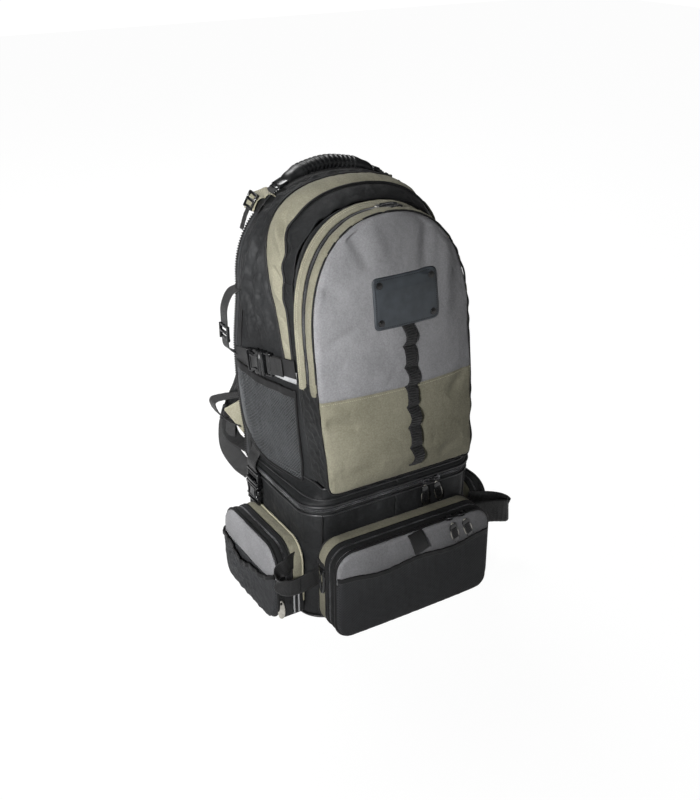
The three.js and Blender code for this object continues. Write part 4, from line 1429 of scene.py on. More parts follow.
def build_skirt():
    """Foot of the pack: a band from the joining zip in to the pack's walls, with piping round it."""
    line = hip_outline(2.0)
    low, high = PACK_FOOT + 0.4, PANEL_FOOT - 2

    def level(u, v, out=0.0):
        flat = line.at(u) + line.out(u) * np.reshape(out, (-1, 1))
        z = low + (high - low) * v
        y = np.minimum(flat[:, 1], BACK_Y + (flat[:, 1] - BACK_Y) * (1 - ease(0, 0.9, v)))
        wide = side_x(np.clip(y, lid_back(z), BACK_Y), high) + 1.2
        reach = np.abs(flat[:, 0])
        reach = np.where(reach > wide, wide + (reach - wide) * (1 - ease(0, 1, v)), reach)
        x = np.sign(flat[:, 0]) * reach
        return stack(x, y, z + 0 * x)

    def place(u, v):
        run = u * line.length
        gathers = 1.2 + 1.4 * puckers(run, (1 - v) * 20, 30, 91, 9)
        swell = -4.5 * ease(0.12, 0.4, v) + gathers * hump(v)
        return level(u, v, swell + 0.6 * folds(run, v * 30, 60, 92) * hump(v))

    skirt = thicken(store("pack_skirt", skin(320, 14, place, (line.length, 30), inside=(0, 0, 190)),
                          BLACK_DEEP), 2.5)
    dress(skirt, "pack", "black_fabric", "front_sill")
    for name, v, out, radius in (("skirt_foot_piping", 0.02, 1.6, 1.7),
                                 ("skirt_middle_piping", 0.36, -1.6, 1.3),
                                 ("skirt_top_piping", 0.98, -4.4, 1.4)):
        share = np.linspace(0, 1, 321)[:-1]
        loop = Trace(level(share, v + 0 * share, out), closed=True)
        dress(tube(name, loop, radius, PIPING), "pack")


def build_lid_face():
    """The front wall of the main compartment, behind the front pocket, with a net organiser sewn on it."""
    def place(u, v):
        rim = on_shell(MAIN_LINE, u, lid_back(MAIN_LINE.at(u)[:, 1]), -1.0)
        share = v[:, None]
        flat = np.array((0, 380)) + (rim[:, [0, 2]] - np.array((0, 380))) * share
        z = np.maximum(flat[:, 1], PANEL_FOOT - 1)
        y = lid_back(z) - 1.2 - 1.2 * np.clip(1 - v, 0, 1) * (1 + patches(flat[:, 0], z, 90, 14))
        return stack(flat[:, 0], y, z)

    bm = flat_map(skin(260, 36, place, inside=(0, 60, 380)))
    dress(thicken(store("lid_face", bm, BLACK_DEEP), 2), "lid", "black_fabric", "pocket_divider")

    def organiser(u, v):
        z = PANEL_FOOT + 12 + 120 * v - 4 * v * np.sin(np.pi * 2 * u) ** 2
        return stack((2 * u - 1) * 96, lid_back(z) - 5 - 3 * v * np.sin(2 * np.pi * u) ** 2, z)

    net = store("lid_organiser_net", skin(70, 30, organiser, (192, 120), inside=(0, 60, 300)), NET)
    dress(thicken(net, 0.8), "lid", "mesh")
    share = np.linspace(0, 1, 60)
    hem = Trace(organiser(share, np.ones(60)))
    dress(swept("lid_organiser_hem", hem, cross_section(8, 1.6), (0, 0, 1), BINDING), "lid")


def diamond_net(name, place, columns, rows, wire, look):
    """Knotted net: diamonds cut from a grid, each edge made a yarn."""
    bm = bmesh.new()
    bmesh.ops.create_grid(bm, x_segments=columns, y_segments=rows, size=0.5)
    square = [e for e in bm.edges if not e.is_boundary]
    bmesh.ops.poke(bm, faces=bm.faces[:])
    bmesh.ops.dissolve_edges(bm, edges=square, use_verts=False)
    share = np.array([v.co[:2] for v in bm.verts]) + 0.5
    for vert, spot in zip(bm.verts, np.asarray(place(share[:, 0], share[:, 1])) * MM):
        vert.co = spot
    bm.normal_update()
    face_away(bm, BAG_MIDDLE)
    bmesh.ops.wireframe(bm, faces=bm.faces[:], thickness=wire * MM, offset=0, use_replace=True,
                        use_boundary=True, use_even_offset=False)
    return store(name, bm, look)


def build_net_pockets():
    low, high = corners("left_mesh_pocket")
    rear, front = high[1] + 2, low[1] - 2

    for side, name in SIDES:
        def sheet(u, v, off=0.0):
            y = rear + (front - rear) * u
            corner = np.clip(1 - u / 0.55, 0, 1)
            foot = low[2] - 6 + 58 * (1 - np.sqrt(np.clip(1 - corner ** 2.2, 0, 1))) - 4 * u
            top = high[2] + 1 - 6 * u - 3 * hump(u) + 1.2 * np.sin(CYCLE * 1.6 * u)
            z = foot + (top - foot) * v
            edge = np.clip(np.minimum(u, 1 - u) * 6, 0, 1) ** 0.6
            sag = edge * (1.2 + 4.2 * v ** 1.3 + 2.0 * hump(v))
            ripple = 0.9 * folds(y, z * 0.5, 55, 101 + side) + 0.5 * folds(z, y, 60, 103)
            ripple = edge * ripple * (0.4 + 0.6 * v)
            return stack(side * (side_x(y, z) + 2.4 + sag + ripple + off), y, z)

        net = diamond_net(f"{name}_net_pocket", sheet, 30, 27, 0.8, NET_YARN_AND_HIGHLIGHT)
        dress(net, "pack", "mesh", f"{name}_mesh_pocket")
        share = np.linspace(0, 1, 90)
        one = np.ones(90)
        hem = Trace(sheet(share, one * 0.985, 0.3))
        dress(swept(f"{name}_net_hem", hem, cross_section(11, 2.0), (0, 0, 1), BINDING), "pack")
        for part, off, v in (("outer", 0.6, 0.0), ("inner", 1.0, 0.03)):
            around = [*sheet(one * 0.0, 1 - share * (1 - v), off), *sheet(share, one * v, off)[1:],
                      *sheet(one, v + share * (1 - v), off)[1:]]
            dress(tube(f"{name}_net_{part}_piping", Trace(around), 1.5, BINDING, steps=160), "pack")


def build_side_straps():
    spot_y = (corners("left_side_tongue")[1][1] + corners("left_side_socket")[0][1]) / 2 - 5.5
    for side, name in SIDES:
        spot = (side * (side_x(spot_y, WAIST) + 7.5), spot_y, WAIST)
        ahead = np.array((-side * math.sin(SIDE_TURN), -math.cos(SIDE_TURN), 0.14))
        place = Place(spot, ahead, (0, 0, 1))
        dress(buckle_socket(f"{name}_side_buckle_socket", place), "pack", "plastic", f"{name}_side_socket")
        dress(buckle_tongue(f"{name}_side_buckle_tongue", place), "lid", "plastic", f"{name}_side_tongue")

        def at(x, off):
            return place.point(x, 0, 0) + np.array((side * off, 0, 0))

        rear = [at(-27, 0), at(-34, -2.5), at(-48, -4.5), at(-64, -5)]
        lay(f"{name}_side_rear_strap", "pack", rear, (0, 0, 1))
        front = [at(11, 0), at(18, -1.6), at(28, -2.8), at(44, -3.2), at(61, -3.4)]
        lay(f"{name}_side_front_strap", "lid", front, (0, 0, 1))
        over = [at(11, 1.2), at(19, 2.0), at(30, 0.4), at(41, 0.6)]
        lay(f"{name}_side_strap_end", "lid", over, (0, 0, 1), wave=0.3)


def build_joining_buckles():
    for side, name in SIDES:
        spot = top_of(f"{name}_joining_socket")
        place = Place(spot, (0, 0, 1), (0, 1, 0))
        dress(buckle_socket(f"{name}_joining_buckle_socket", place), "hip_pack", "plastic",
              f"{name}_joining_socket")
        dress(buckle_tongue(f"{name}_joining_buckle_tongue", place), "pack", "plastic",
              f"{name}_joining_tongue")
        x, y, z = spot
        up = [(x, y, z + 11), (x + side * 0.6, y, z + 20), (x + side * 3.4, y, z + 30),
              (x + side * 1.2, y, z + 39), (x - side * 3.8, y, z + 47), (x - side * 5.5, y, z + 56)]
        lay(f"{name}_joining_upper_strap", "pack", up, (0, 1, 0), wave=0.35)
        down = [(x, y, z - 27), (x - side * 2, y, z - 36), (x - side * 4.2, y, z - 46)]
        lay(f"{name}_joining_lower_strap", "hip_pack", down, (0, 1, 0))


def on_panel(x, z, off=0.0):
    """A place on the front panel's face, off millimetres proud."""
    x, z = np.asarray(x, float), np.asarray(z, float)
    return stack(x + 0 * z, panel_face(z) - panel_bulge(x, z) - off, z + 0 * x)


def build_patch():
    low, high = corners("blank_patch")
    centre = np.array(((low[0] + high[0]) / 2, (low[2] + high[2]) / 2))
    outline = rounded((high[0] - low[0]) / 2, -(high[2] - low[2]) / 2, (high[2] - low[2]) / 2, 7)

    def place(u, v):
        flat = centre + outline.at(u) * v[:, None]
        return on_panel(flat[:, 0], flat[:, 1], 2.6 - 1.4 * ease(0.965, 1.0, v) - 0.35 * bump(0.91, 0.025, v))

    bm = flat_map(skin(120, 40, place, inside=(centre[0], 0, centre[1])))
    patch = thicken(store("bare_patch", bm, PATCH), 1.6)
    dress(patch, "front_panel", "patch", "blank_patch")
    border = rounded((high[0] - low[0]) / 2 - 3.2, -(high[2] - low[2]) / 2 + 3.2,
                     (high[2] - low[2]) / 2 - 3.2, 5)
    share = np.linspace(0, 1, 200)[:-1]
    flat = border.at(share) + centre
    line = Trace(on_panel(flat[:, 0], flat[:, 1], 2.7), closed=True)
    stitch_row("patch_stitching", line, lambda s: s * 0 + (0, -1, 0.13), pitch=2.6, body="front_panel",
               finish="patch", length=1.7)
    for index, (sx, sz) in enumerate(((-1, 1), (1, 1), (-1, -1), (1, -1))):
        x = centre[0] + sx * ((high[0] - low[0]) / 2 - 9.5)
        z = centre[1] + sz * ((high[2] - low[2]) / 2 - 9.5)
        spot = on_panel(np.array([x]), np.array([z]), 2.6)[0]
        frame_at = Place(spot, (1, 0, 0), (0, 0.13, 1))

        def dome(u, v):
            r = 4.6 * np.sin(np.clip(v, 0, 1) * np.pi / 2)
            a = -u * 2 * np.pi
            rise = 1.7 * np.cos(np.clip(v, 0, 1) * np.pi / 2) ** 0.8
            ring = 0.5 * bump(0.72, 0.12, v)
            return stack(r * np.cos(a), -rise - ring, r * np.sin(a))

        bm = skin(28, 12, dome, (24, 5), inside=(0, 50, 0))
        bmesh.ops.transform(bm, matrix=frame_at.turn, verts=bm.verts[:])
        dress(thicken(store(f"patch_rivet_{index + 1}", bm, RIVET), 0.6), "front_panel", "plastic")


def build_daisy_chain():
    low, high = corners("daisy_chain")
    x, loops = (low[0] + high[0]) / 2 - 7, 7
    top, foot = high[2] + 1, low[2]
    share = np.linspace(0, 1, 260)
    z = top + (foot - top) * share
    wave = np.abs(np.sin(np.pi * loops * share)) ** 0.75
    sway = 1.6 * np.sin(np.pi * loops * share) * wave
    line = Trace(on_panel(x + sway, z, 1.2 + 6.4 * wave))

    def narrow(v):
        return 1 - 0.14 * np.abs(np.sin(np.pi * loops * v)) ** 0.7, 1.0

    def ribs(run, a, b):
        return np.where(b > 0, 0.5, -0.2) * np.sin(CYCLE * run / 3.3) + 0.5 * folds(run, a, 14, 111)

    strap = swept("daisy_chain_webbing", line, cross_section(19, 1.8), (1, 0, 0), WEBBING, steps=420,
                  scale=narrow, lift=ribs)
    dress(strap, "front_panel", "webbing", "daisy_chain")
    tacks = []
    for index in range(loops + 1):
        for shift in (-1.6, 1.6):
            zt = top + (foot - top) * index / loops + shift
            zt = min(max(zt, foot + 1), top - 1)
            spot = on_panel(np.array([x]), np.array([zt]), 2.4)[0]
            tacks += bar_tack(Place(spot, (0, -0.13, -1), (1, 0, 0)), 17)
    stitch = small_mesh(bar(1.6, 0.6, 0.5, 0.15))
    dress(repeat("daisy_chain_tacks", stitch, tacks, BLACK_THREAD), "front_panel", "webbing")


def build_handle():
    low, high = corners("carry_handle")
    y, half = (low[1] + high[1]) / 2 - 3, high[0] - 3
    top, foot = high[2] - 9, low[2] + 5
    line = smooth_through([(-half - 3, y, foot - 3), (-half + 6, y + 1.5, foot + 5),
                           (-half * 0.5, y + 5.5, top - 4), (0, y + 7, top), (half * 0.5, y + 5.5, top - 4),
                           (half - 6, y + 1.5, foot + 5), (half + 3, y, foot - 3)], 14)
    length = line.length

    def shape(v):
        grip = ease(0.1, 0.2, v) * ease(0.9, 0.8, v)
        return 0.8 + 0.2 * grip, 0.74 + 0.26 * grip

    def ridges(run, a, b):
        share = run / length
        mask = ease(0.17, 0.21, share) * ease(0.83, 0.79, share)
        tooth = np.clip(np.sin(CYCLE * run / 6.6) * 2.0, -1, 1)
        return np.where(b > 0, 1.7 * tooth * mask, -0.5 * tooth * mask)

    line_up = Trace(line.points[::-1])
    grip = swept("carry_grip", line_up, Trace([(13.5 * math.cos(a), 9.2 * math.sin(a)) for a in
                                               np.linspace(0, -2 * math.pi, 37)[:-1]], closed=True),
                 (0, 1, 0), GRIP, steps=260, scale=shape, around=36, lift=ridges)
    dress(grip, "handle", "plastic", "carry_handle")
    for side, name in SIDES:
        low, high = corners(f"{name}_handle_clip")
        mid = (low + high) / 2
        place = Place(mid, (side, 0, -0.45), (0, 1, 0))

        def clip(bm):
            add_block(bm, (-8, -2.4, -11), (7, 2.4, 11), 1.2)
            add_block(bm, (-5, -4.0, -8), (4, -2.0, 8), 0.8)
            add_block(bm, (7, -1.2, -9.5), (11, 1.2, 9.5), 0.5)

        dress(moulding(f"{name}_handle_end", place, clip, PLASTIC), "pack", "plastic", f"{name}_handle_clip")
        tab = [mid + (side * -6, 0, 2), mid + (side * 8, 0, -4), mid + (side * 26, -1, -16),
               mid + (side * 40, -2, -31)]
        lay(f"{name}_handle_tab", "pack", tab, (0, 1, 0), width=21)
    under = [(-70, y - 4, PACK_TOP - 7), (-40, y - 4, PACK_TOP + 1.5), (0, y - 4, PACK_TOP + 5),
             (40, y - 4, PACK_TOP + 1.5), (70, y - 4, PACK_TOP - 7)]
    lay("handle_base_strap", "pack", under, (0, 1, 0), width=30, thickness=5)


# ---- harness ----
STRAP_ROUTE = [(0, 8, 20), (0.08, 30, 66), (0.26, 43, 146), (0.49, 48, 226), (0.74, 52, 294), (1, 59, 334)]
STRAP_TOP = 46
TAIL_ROUTE = [(4, 2, -7), (11, 0, -24), (10, -15, -42)]


def strap_points(side):
    spread = MAIN["foot"] - 13 - STRAP_TOP
    return [np.array((side * (STRAP_TOP + share * spread), BACK_Y + out, PACK_TOP - down))
            for share, out, down in STRAP_ROUTE]


def build_shoulder_straps():
    for side, name in SIDES:
        points = strap_points(side)
        line = smooth_through(points)
        body = f"{name}_shoulder"

        def shape(v):
            narrower = 1 - 0.3 * v - 0.12 * ease(0.93, 1.0, v)
            return narrower, 1 - 0.75 * np.maximum(ease(0.05, 0, v), ease(0.95, 1, v))

        def quilt(run, a, b):
            channel = -0.9 * np.exp(-((np.abs(a) - 16) / 1.6) ** 2)
            return np.where(b > 0, 1, -1) * (1.4 * np.cos(np.clip(a / 30, -1, 1) * np.pi / 2) + channel
                                             + 0.5 * folds(run, a, 48, 121))

        pad = swept(f"{name}_strap_pad", line, cross_section(52, 10), (1, 0, 0), BLACK, steps=150,
                    scale=shape, around=44, lift=quilt)
        dress(pad, body, "black_fabric", f"{name}_shoulder_strap")
        share = np.linspace(0, 1, 120)
        for edge, way in (("outer", 1), ("inner", -1)):
            width, _ = shape(share)
            ways = line.along(share)
            across = np.array((1.0, 0, 0)) - ways * ways[:, :1]
            across /= np.linalg.norm(across, axis=1, keepdims=True)
            rim = Trace(line.at(share) + across * (26 * width * way)[:, None])
            dress(tube(f"{name}_strap_{edge}_binding", rim, 2.4, BINDING, steps=120), body)
        outer = [p + np.array((0, 7.4, 2)) for p in points]
        outer[0] = points[0] + np.array((0, 3, 4))
        lay(f"{name}_strap_webbing", body, outer, (1, 0, 0))
        tip = points[-1]
        spread = tip + np.array((side * 1.5, 2.5, -2))
        lock = Place(spread + np.array((side * 1.5, 1.5, -9)), (0.35 * side, 0, -1), (1, 0, 0))
        dress(ladder_lock(f"{name}_strap_adjuster", lock), body, "plastic")
        tail = [tip + np.array((side * o[0], o[1], o[2])) for o in TAIL_ROUTE]
        tail = [tip + np.array((side * 2, 1.5, 2)), *tail,
                np.array((side * (MAIN["foot"] - 13), BACK_Y + 3, PACK_FOOT + 7))]
        lay(f"{name}_tail_webbing", "pack", tail, (1, 0, 0), wave=0.25, node=f"{name}_strap_tail")
        drop = tip + np.array((side * 3, 4, -12))
        loose = [drop, drop + (side * 10, -6, -14), drop + (side * 16, -20, -40), drop + (side * 8, -38, -62),
                 drop + (side * -4, -47, -76)]
        lay(f"{name}_loose_end", "pack", loose, (1, side * 0.5, 0), wave=0.5, seed=4)


def back_pad(name, outline, middle, height):
    """A stuffed pad sewn to the back: domed, flat where it meets the back, swollen by a cloth simulation."""
    def place(u, v):
        share = np.clip(v / 0.5, 0, 1)
        back = np.clip((v - 0.5) / 0.5, 0, 1)
        flat = np.array(middle) + outline.at(u) * np.where(v <= 0.5, share, 1 - back)[:, None]
        rise = np.where(v <= 0.5, height * (1 - share ** 5), -4.0 * back ** 0.2)
        return stack(flat[:, 0], BACK_Y - 6 + rise, flat[:, 1])

    bm = skin(72, 24, place, close=True)
    pad = store(name, bm, NET_PAD)
    inflate(pad, 6)
    lay_flat(pad)
    dress(pad, "pack")


def inflate(piece, cap, pressure=4.0, voxel=5.0, frames=18):
    """Swells a closed piece with a short cloth simulation, no point moving more than cap millimetres."""
    scene = bpy.context.scene
    bpy.context.view_layer.objects.active = piece
    remesh = piece.modifiers.new("voxels", "REMESH")
    remesh.mode = "VOXEL"
    remesh.voxel_size = voxel * MM
    bake(piece)
    rest = np.array([v.co for v in piece.data.vertices])
    cloth = piece.modifiers.new("cloth", "CLOTH")
    cloth.settings.use_pressure = True
    cloth.settings.uniform_pressure_force = pressure
    cloth.settings.effector_weights.gravity = 0
    cloth.point_cache.frame_start, cloth.point_cache.frame_end = 1, frames
    for step in range(1, frames + 1):
        scene.frame_set(step)
    bake(piece)
    scene.frame_set(1)
    spots = np.array([v.co for v in piece.data.vertices])
    move = spots - rest
    far = np.linalg.norm(move, axis=1, keepdims=True)
    spots = rest + move * np.minimum(1, cap * MM / np.maximum(far, 1e-9))
    piece.data.vertices.foreach_set("co", spots.ravel().astype(np.float32))
    smooth = piece.modifiers.new("round", "SUBSURF")
    smooth.levels = smooth.render_levels = 1
    bake(piece)
    for polygon in piece.data.polygons:
        polygon.use_smooth = True
    return piece


def bake(piece):
    """Replaces a piece's mesh by what its modifiers make of it."""
    made = piece.evaluated_get(bpy.context.evaluated_depsgraph_get())
    mesh = bpy.data.meshes.new_from_object(made)
    piece.modifiers.clear()
    piece.data = mesh


def build_back():
    """The side that lies against the wearer: a netted base, two long pads and a lumbar pad."""
    def place(u, v):
        rim, normal = MAIN_LINE.at(u), MAIN_LINE.out(u)
        inner = rim - normal * 6
        share = np.clip(v / 0.7, 0, 1)[:, None]
        turn = np.clip((v - 0.7) / 0.2, 0, 1) * np.pi / 2
        wall = np.clip((v - 0.9) / 0.1, 0, 1)
        middle = np.array((0, 370))
        flat = middle + (inner - middle) * share + normal * (6 * np.sin(turn))[:, None]
        y = BACK_Y - 2 - 6 * (1 - np.cos(turn)) - (BACK_PAD - 8 - 1) * wall
        y = y + 1.0 * patches(flat[:, 0], flat[:, 1], 90, 131) * (1 - np.clip(v / 0.7, 0, 1) ** 4)
        return stack(flat[:, 0], y, flat[:, 1])

    bm = flat_map(skin(320, 40, place, inside=(0, 0, 370)))
    base = thicken(store("back_cloth", bm, BLACK), 3)
    dress(base, "pack", "black_fabric", "back_panel")
    rim = shell_line(MAIN_LINE, lambda z: BACK_Y - 3.5 + 0 * z, 0.4)
    teeth = rim.length / 3.4
    dress(tube("back_rim_piping", rim, 2.3, BINDING, steps=int(teeth * 5),
               taper=lambda v: 1 + 0.45 * np.sin(CYCLE * teeth * v)), "pack")
    for side, name in SIDES:
        back_pad(f"{name}_back_pad", rounded(31, -118, 118, 26), (side * 46, 390), 9)
    back_pad("lumbar_pad", rounded(92, -32, 32, 26), (0, 228), 11)

    def sleeve(u, v):
        y = BACK_Y - BACK_PAD + 0.5 + (BACK_PAD - 4) * v
        return on_shell(MAIN_LINE, 0.06 + 0.88 * u, y, 1.0 + 0.9 * hump(v))

    net = store("back_edge_net", skin(420, 6, sleeve, (1000, 11)), NET)
    dress(thicken(net, 0.8), "pack", "mesh")


def build_load_lifters():
    for side, name in SIDES:
        start = np.array((side * 80, BACK_Y - 6, PACK_TOP - 22))
        lock = np.array((-110, BACK_Y + 2, PACK_TOP - 21) if side < 0 else (106, BACK_Y + 5, PACK_TOP - 34))
        line = [start, start + (side * 8, 2, 10), lock + (side * -14, -1, 7), lock + (side * -3, 0, 4),
                lock + (side * 2, -0.4, -4), lock + (side * 5, -0.6, -11)]
        lay(f"{name}_lifter_webbing", "pack", line, (0, 1, 0.1), width=26, look=TAN_WEBBING)
        place = Place(lock + (side * 1, 0.5, 0), (side * 0.5, 0.1, -1), (0, 1, 0))
        dress(ladder_lock(f"{name}_lifter_adjuster", place, 16), "pack", "plastic")
        tail = [lock + (side * 3, 1, -6), lock + (side * 9, 2, -18), lock + (side * 15, 3, -36)]
        lay(f"{name}_lifter_tail", "pack", tail, (0, 1, 0), width=9, wave=0.3)
        share = np.linspace(0, 0.5, 900)
        at = share[np.abs(MAIN_LINE.at(share)[:, 1] - 548).argmin()]
        at = np.array([at if side < 0 else 1 - at])
        base = on_shell(MAIN_LINE, at, BACK_Y - BACK_PAD + 1, 3.4)[0]
        way = MAIN_LINE.along(at)[0]
        patch = Place(base, (way[0] * -side, 0, way[1] * -side), (0, 1, 0))

        def pentagon(bm):
            add_prism(bm, [(-18, 7), (16, 7), (20, -15), (0, -27), (-19, -17)], -1.4, 1.4, 0.4)

        dress(moulding(f"{name}_lifter_patch", patch, pentagon, BLACK_DEEP), "pack")


def build_belt():
    for side, name in SIDES:
        low, high = corners(f"{name}_belt_wing")
        outer, inner = side * max(abs(low[0]), abs(high[0])), side * min(abs(low[0]), abs(high[0]))
        mid_z, y = (low[2] + high[2]) / 2, (low[1] + high[1]) / 2
        tall = (high[2] - low[2]) / 2

        def place(u, v):
            ring = v * 2 * np.pi
            x = outer + (inner - outer) * u
            half = tall * (1 - 0.45 * u ** 2) * np.clip(np.minimum(u, 1 - u) * 9 + 0.35, 0, 1) ** 0.5
            a, b = np.sin(ring), np.cos(ring)
            z = mid_z + half * np.sign(a) * np.abs(a) ** 0.8
            thick = 4.6 * (0.55 + 0.45 * np.clip(np.minimum(u, 1 - u) * 9, 0, 1))
            return stack(x, y + thick * np.sign(b) * np.abs(b) ** 0.6, z)

        bm = skin(36, 48, place, close=True)
        seal(bm)
        wing = store(f"{name}_belt_pad", bm, BLACK)
        inflate(wing, 3)
        lay_flat(wing)
        dress(wing, f"{name}_belt", "black_fabric", f"{name}_belt_wing")
        strap = [(outer - side * 14, y + 5.6, mid_z), (outer + (inner - outer) * 0.5, y + 6.6, mid_z),
                 (inner + side * 6, y + 4.4, mid_z), (inner - side * 10, y + 0.6, mid_z),
                 (inner - side * 17, y, mid_z)]
        lay(f"{name}_belt_webbing", f"{name}_belt", strap, (0, 0, 1))
    low, high = corners("left_belt_buckle")
    mid = (low + high) / 2
    socket = Place((high[0], mid[1], mid[2]), (1, 0, 0), (0, 0, 1))
    dress(buckle_socket("belt_buckle_socket", socket), "left_belt", "plastic", "left_belt_buckle")
    low, high = corners("right_belt_buckle")
    tongue = Place((low[0] + 12, mid[1], mid[2]), (1, 0, 0), (0, 0, 1))
    dress(buckle_tongue("belt_buckle_tongue", tongue), "right_belt", "plastic", "right_belt_buckle")


# ---- zips, pulls and loops ----
def build_sliders():
    for index in (1, 2):
        low, high = corners(f"joining_slider_{index}")
        spot = ((low[0] + high[0]) / 2, low[1] + 2.6, (low[2] + high[2]) / 2)
        zip_slider(f"joining_slider_body_{index}", Place(spot, (1, 0, 0), (0, 0, 1)),
                   f"joining_slider_{index}_body", f"joining_slider_{index}")
        slant = 0.04 if index == 1 else 0.26
        top = Place(top_of(f"joining_pull_{index}"), (1, 0, slant), (-slant, 0, 1))
        ribbed_pull(f"joining_pull_grip_{index}", top, f"joining_pull_{index}_body", f"joining_pull_{index}")
        low, high = corners(f"front_pocket_slider_{index}")
        spot = ((low[0] + high[0]) / 2, low[1] + 10, (low[2] + high[2]) / 2 - 1)
        zip_slider(f"front_slider_body_{index}", Place(spot, (1, 0, 0), (0, 1, 0)),
                   f"front_pocket_slider_{index}_body", f"front_pocket_slider_{index}")
        slant = 0.3 if index == 1 else 0.42
        top = Place(top_of(f"front_pocket_pull_{index}", -1), (1, 0, slant), (-slant, 0, 1))
        ribbed_pull(f"front_pull_grip_{index}", top, f"front_pocket_pull_{index}_body",
                    f"front_pocket_pull_{index}")
        low, high = corners(f"top_pull_{index}")
        lying = Place((low[0], (low[1] + high[1]) / 2, (low[2] + high[2]) / 2), (0, 1, 0), (-1, 0, 0))
        ribbed_pull(f"top_pull_grip_{index}", lying, f"top_pull_{index}_body", f"top_pull_{index}")
    for side, name in SIDES:
        spot = Place(top_of(f"{name}_pocket_pull", 0.5), (1, side * 0.5, 0), (0, 0, 1))
        teardrop_pull(f"{name}_pocket_drop_pull", spot, f"{name}_pocket_pull_body", f"{name}_pocket_pull")


def build_loops():
    """Webbing loops at the hip pack's front corners, and the strips that they grow from."""
    root, front = HIP_HALF_WIDTH, corners("left_loop")[0][1] + 1.5
    left = [(-root + 20, front - 3, 84), (-root - 2, front - 4, 78), (-root - 20, front - 3, 73),
            (-root - 36, front - 1, 74), (-root - 45, front + 6, 80), (-root - 41, front + 13, 90),
            (-root - 30, front + 14, 96), (-root - 20, front + 18, 98), (-root - 6, front + 26, 94)]
    lay("left_corner_loop", "hip_pack", left, (0, 0.1, 1), width=24, thickness=2.0, wave=0.5, seed=7,
        node="left_loop")
    tip = corners("right_loop")[1][0]
    right = [(root - 14, front - 3, 88), (root + 10, front - 1, 88), (root + 40, front - 1, 82),
             (tip - 12, front, 74), (tip - 2, front + 8, 70), (tip - 10, front + 16, 76),
             (root + 40, front + 17, 88), (root + 8, front + 20, 96)]
    lay("right_corner_loop", "hip_pack", right, (0, 0.1, 1), width=34, thickness=2.2, wave=0.6,
        seed=9, node="right_loop")
    tacks = []
    for side, x, z in ((-1, -root + 12, 84), (-1, -root + 4, 80), (-1, -root - 18, 73), (1, root + 2, 88)):
        y = front - (4.6 if side < 0 else 2.6)
        tacks += bar_tack(Place((x, y, z), (side, 0, 0), (0, 0, 1)), 22)
    dress(repeat("corner_loop_tacks", small_mesh(bar(1.6, 0.7, 0.6, 0.15)), tacks, BLACK_THREAD),
          "hip_pack", "webbing")
    for side, name in SIDES:
        low = corners(f"{name}_pocket_gusset")[0]
        y = low[1] - 1.6
        for index in (0, 1):
            x = side * (root + 9 + index * 7)
            line = [(x, y, 60), (x + side * 0.4, y - 0.4, 38), (x, y, 14)]
            dress(tube(f"{name}_end_binding_{index + 1}", smooth_through(line), 1.3, LINING),
                  "hip_pack", "grey_fabric")

        def end(u, v):
            x = side * (root + 1 + 36 * u)
            z = low[2] + 6 + (58 - low[2]) * v
            return stack(x, low[1] - 0.6 - 0.9 * hump(v) + 0 * x + 3 * ease(14, 6, z), z)

        panel = store(f"{name}_end_panel", skin(16, 16, end, (36, 52), inside=(0, 0, 40)), BLACK)
        dress(thicken(panel, 1.6), "hip_pack")


def build_snap_hook():
    low, high = corners("snap_hook")
    mid = (low + high) / 2 + (1, -0.5, 0)
    half_y, half_z = (high[1] - low[1]) / 2, (high[2] - low[2]) / 2

    def ring(turn):
        a = math.radians(turn)
        squeeze = 0.72 + 0.28 * (1 + math.sin(a)) / 2
        return mid + np.array((0.4 * math.cos(a), half_y * squeeze * math.cos(a), half_z * math.sin(a)))

    body = Trace([ring(turn) for turn in range(70, 360, 8)])
    hook = tube("snap_hook_body", body, 2.7, PLASTIC, steps=90, around=14,
                taper=lambda v: 1 - 0.35 * ease(0.9, 1.0, v))
    dress(hook, "hip_pack", "plastic", "snap_hook")
    gate = Trace([ring(-4), ring(20), ring(44), ring(68)])
    dress(tube("snap_hook_gate", gate, 1.5, PLASTIC, steps=24, around=10), "hip_pack", "plastic")

    def swivel(bm):
        add_block(bm, (-5, -2.2, -2.2), (5, 2.2, 2.2), 0.9)
        add_block(bm, (-7, -1.6, 1.6), (7, 1.6, 4.6), 0.7)

    head = Place(mid + (0, 0, half_z + 1), (0, 1, 0), (0, 0, 1))
    dress(moulding("snap_hook_swivel", head, swivel, PLASTIC), "hip_pack", "plastic")
    strap = [mid + (4, 8, half_z + 14), mid + (1, 3, half_z + 12), mid + (0, 0, half_z + 4),
             mid + (0.5, 1.5, half_z + 3)]
    lay("snap_hook_loop", "hip_pack", strap, (0, 1, 0.2), width=12)


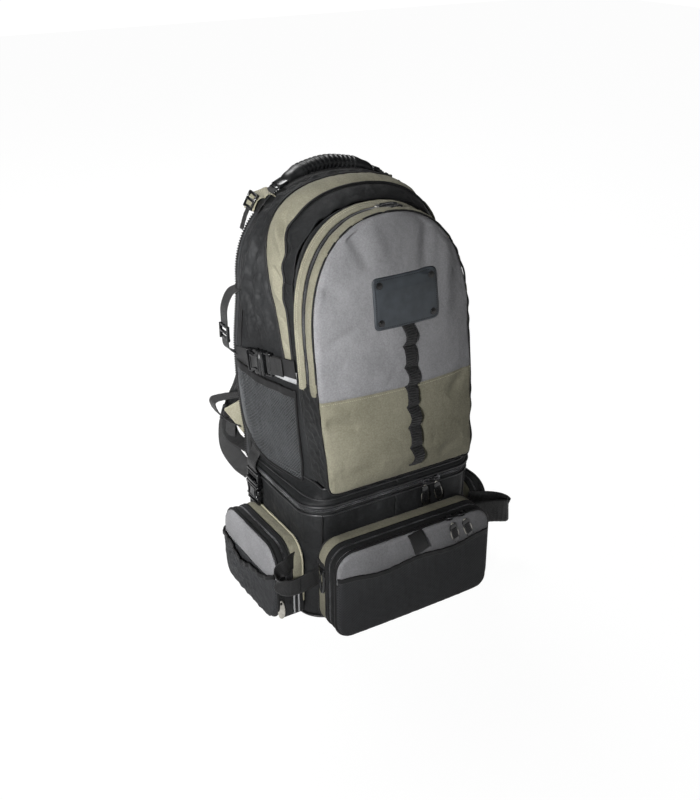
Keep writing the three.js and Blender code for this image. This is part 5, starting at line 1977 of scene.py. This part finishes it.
def build_front_tab():
    """A flat webbing tab sewn over the top of the front pocket's face, and seams on the hip pack."""
    low, high = corners("front_pocket_face")
    y, top = low[1] - 4.5, high[2]
    points = [(-4, y + 6, top + 1), (-3, y + 1, top - 4), (-1, y - 3.4, top - 13), (2, y - 5.4, top - 24)]
    lay("front_pocket_tab", "front_pocket_lid", points, (1, 0, 0.1), width=23, thickness=1.8)
    for name, at in (("left_seam", 0.132), ("right_seam", 0.868)):
        line = hip_outline(2.2)
        spot = line.at(np.array([at]))[0]
        wobble = [(spot[0] + 1.2 * math.sin(z * 0.09), spot[1] - 0.4, z)
                  for z in (168, 140, 112, 84, 56, 28, 8)]
        dress(tube(f"hip_{name}", smooth_through(wobble), 1.2, BINDING), "hip_pack")


def build_back_edge_straps():
    """Small straps at the back edge: the compression loop, the anchor tabs and their hanging webbing."""
    for side, name in SIDES:
        loop = [(side * 136, 72, 436), (side * 148, 79, 428), (side * 156, 82, 408), (side * 156, 84, 384)]
        lay(f"{name}_back_loop_upper", "pack", loop, (0, 1, 0), width=20)
        lock = Place((side * 156.5, 84, 372), (0, 0, -1), (0, 1, 0))
        dress(ladder_lock(f"{name}_back_loop_adjuster", lock, 18), "pack", "plastic")
        loop = [(side * 156, 84, 366), (side * 155, 82, 352), (side * 146, 77, 344), (side * 137, 72, 342)]
        lay(f"{name}_back_loop_lower", "pack", loop, (0, 1, 0), width=20)

        def tab(u, v):
            reach = (1 - v) * np.clip(np.minimum(u / 0.78, (1 - u) / 0.22), 0, 1)
            x = side * (137 + 27 * reach)
            z = 216 + 56 * u
            return stack(x, 79 + 6 * reach, z)

        cloth = store(f"{name}_anchor_tab", skin(24, 10, tab, (56, 24)), OLIVE)
        dress(thicken(cloth, 2.2), "pack", "olive_fabric")
        ring = [(side * 140, 82, 276), (side * 158, 88, 276), (side * 175, 93, 272), (side * 172, 93, 257),
                (side * 160, 90, 242), (side * 142, 84, 230)]
        lay(f"{name}_anchor_ring", "pack", ring, (0, 1, 0), width=20, thickness=1.8, wave=0.3)

    def lining(u, v):
        y = -6 - 46 * u
        z = 339 + 2 * u + (3 + 13 * u) * v
        x = -(side_x(y, z) + 3.2 + 1.5 * hump(u))
        return stack(x, y, z)

    sliver = store("left_pocket_lining", skin(20, 6, lining, (46, 14)), LINING)
    dress(thicken(sliver, 1.5), "pack", "grey_fabric")


build_side()
build_bands()
build_gusset()
build_front_panel()
build_lid_face()
build_skirt()
build_net_pockets()
build_side_straps()
build_joining_buckles()
build_patch()
build_daisy_chain()
build_handle()
build_back()
build_shoulder_straps()
build_load_lifters()
build_belt()
build_hip_body()
build_joining_zip()
build_pockets()
build_sliders()
build_loops()
build_snap_hook()
build_front_tab()
build_back_edge_straps()
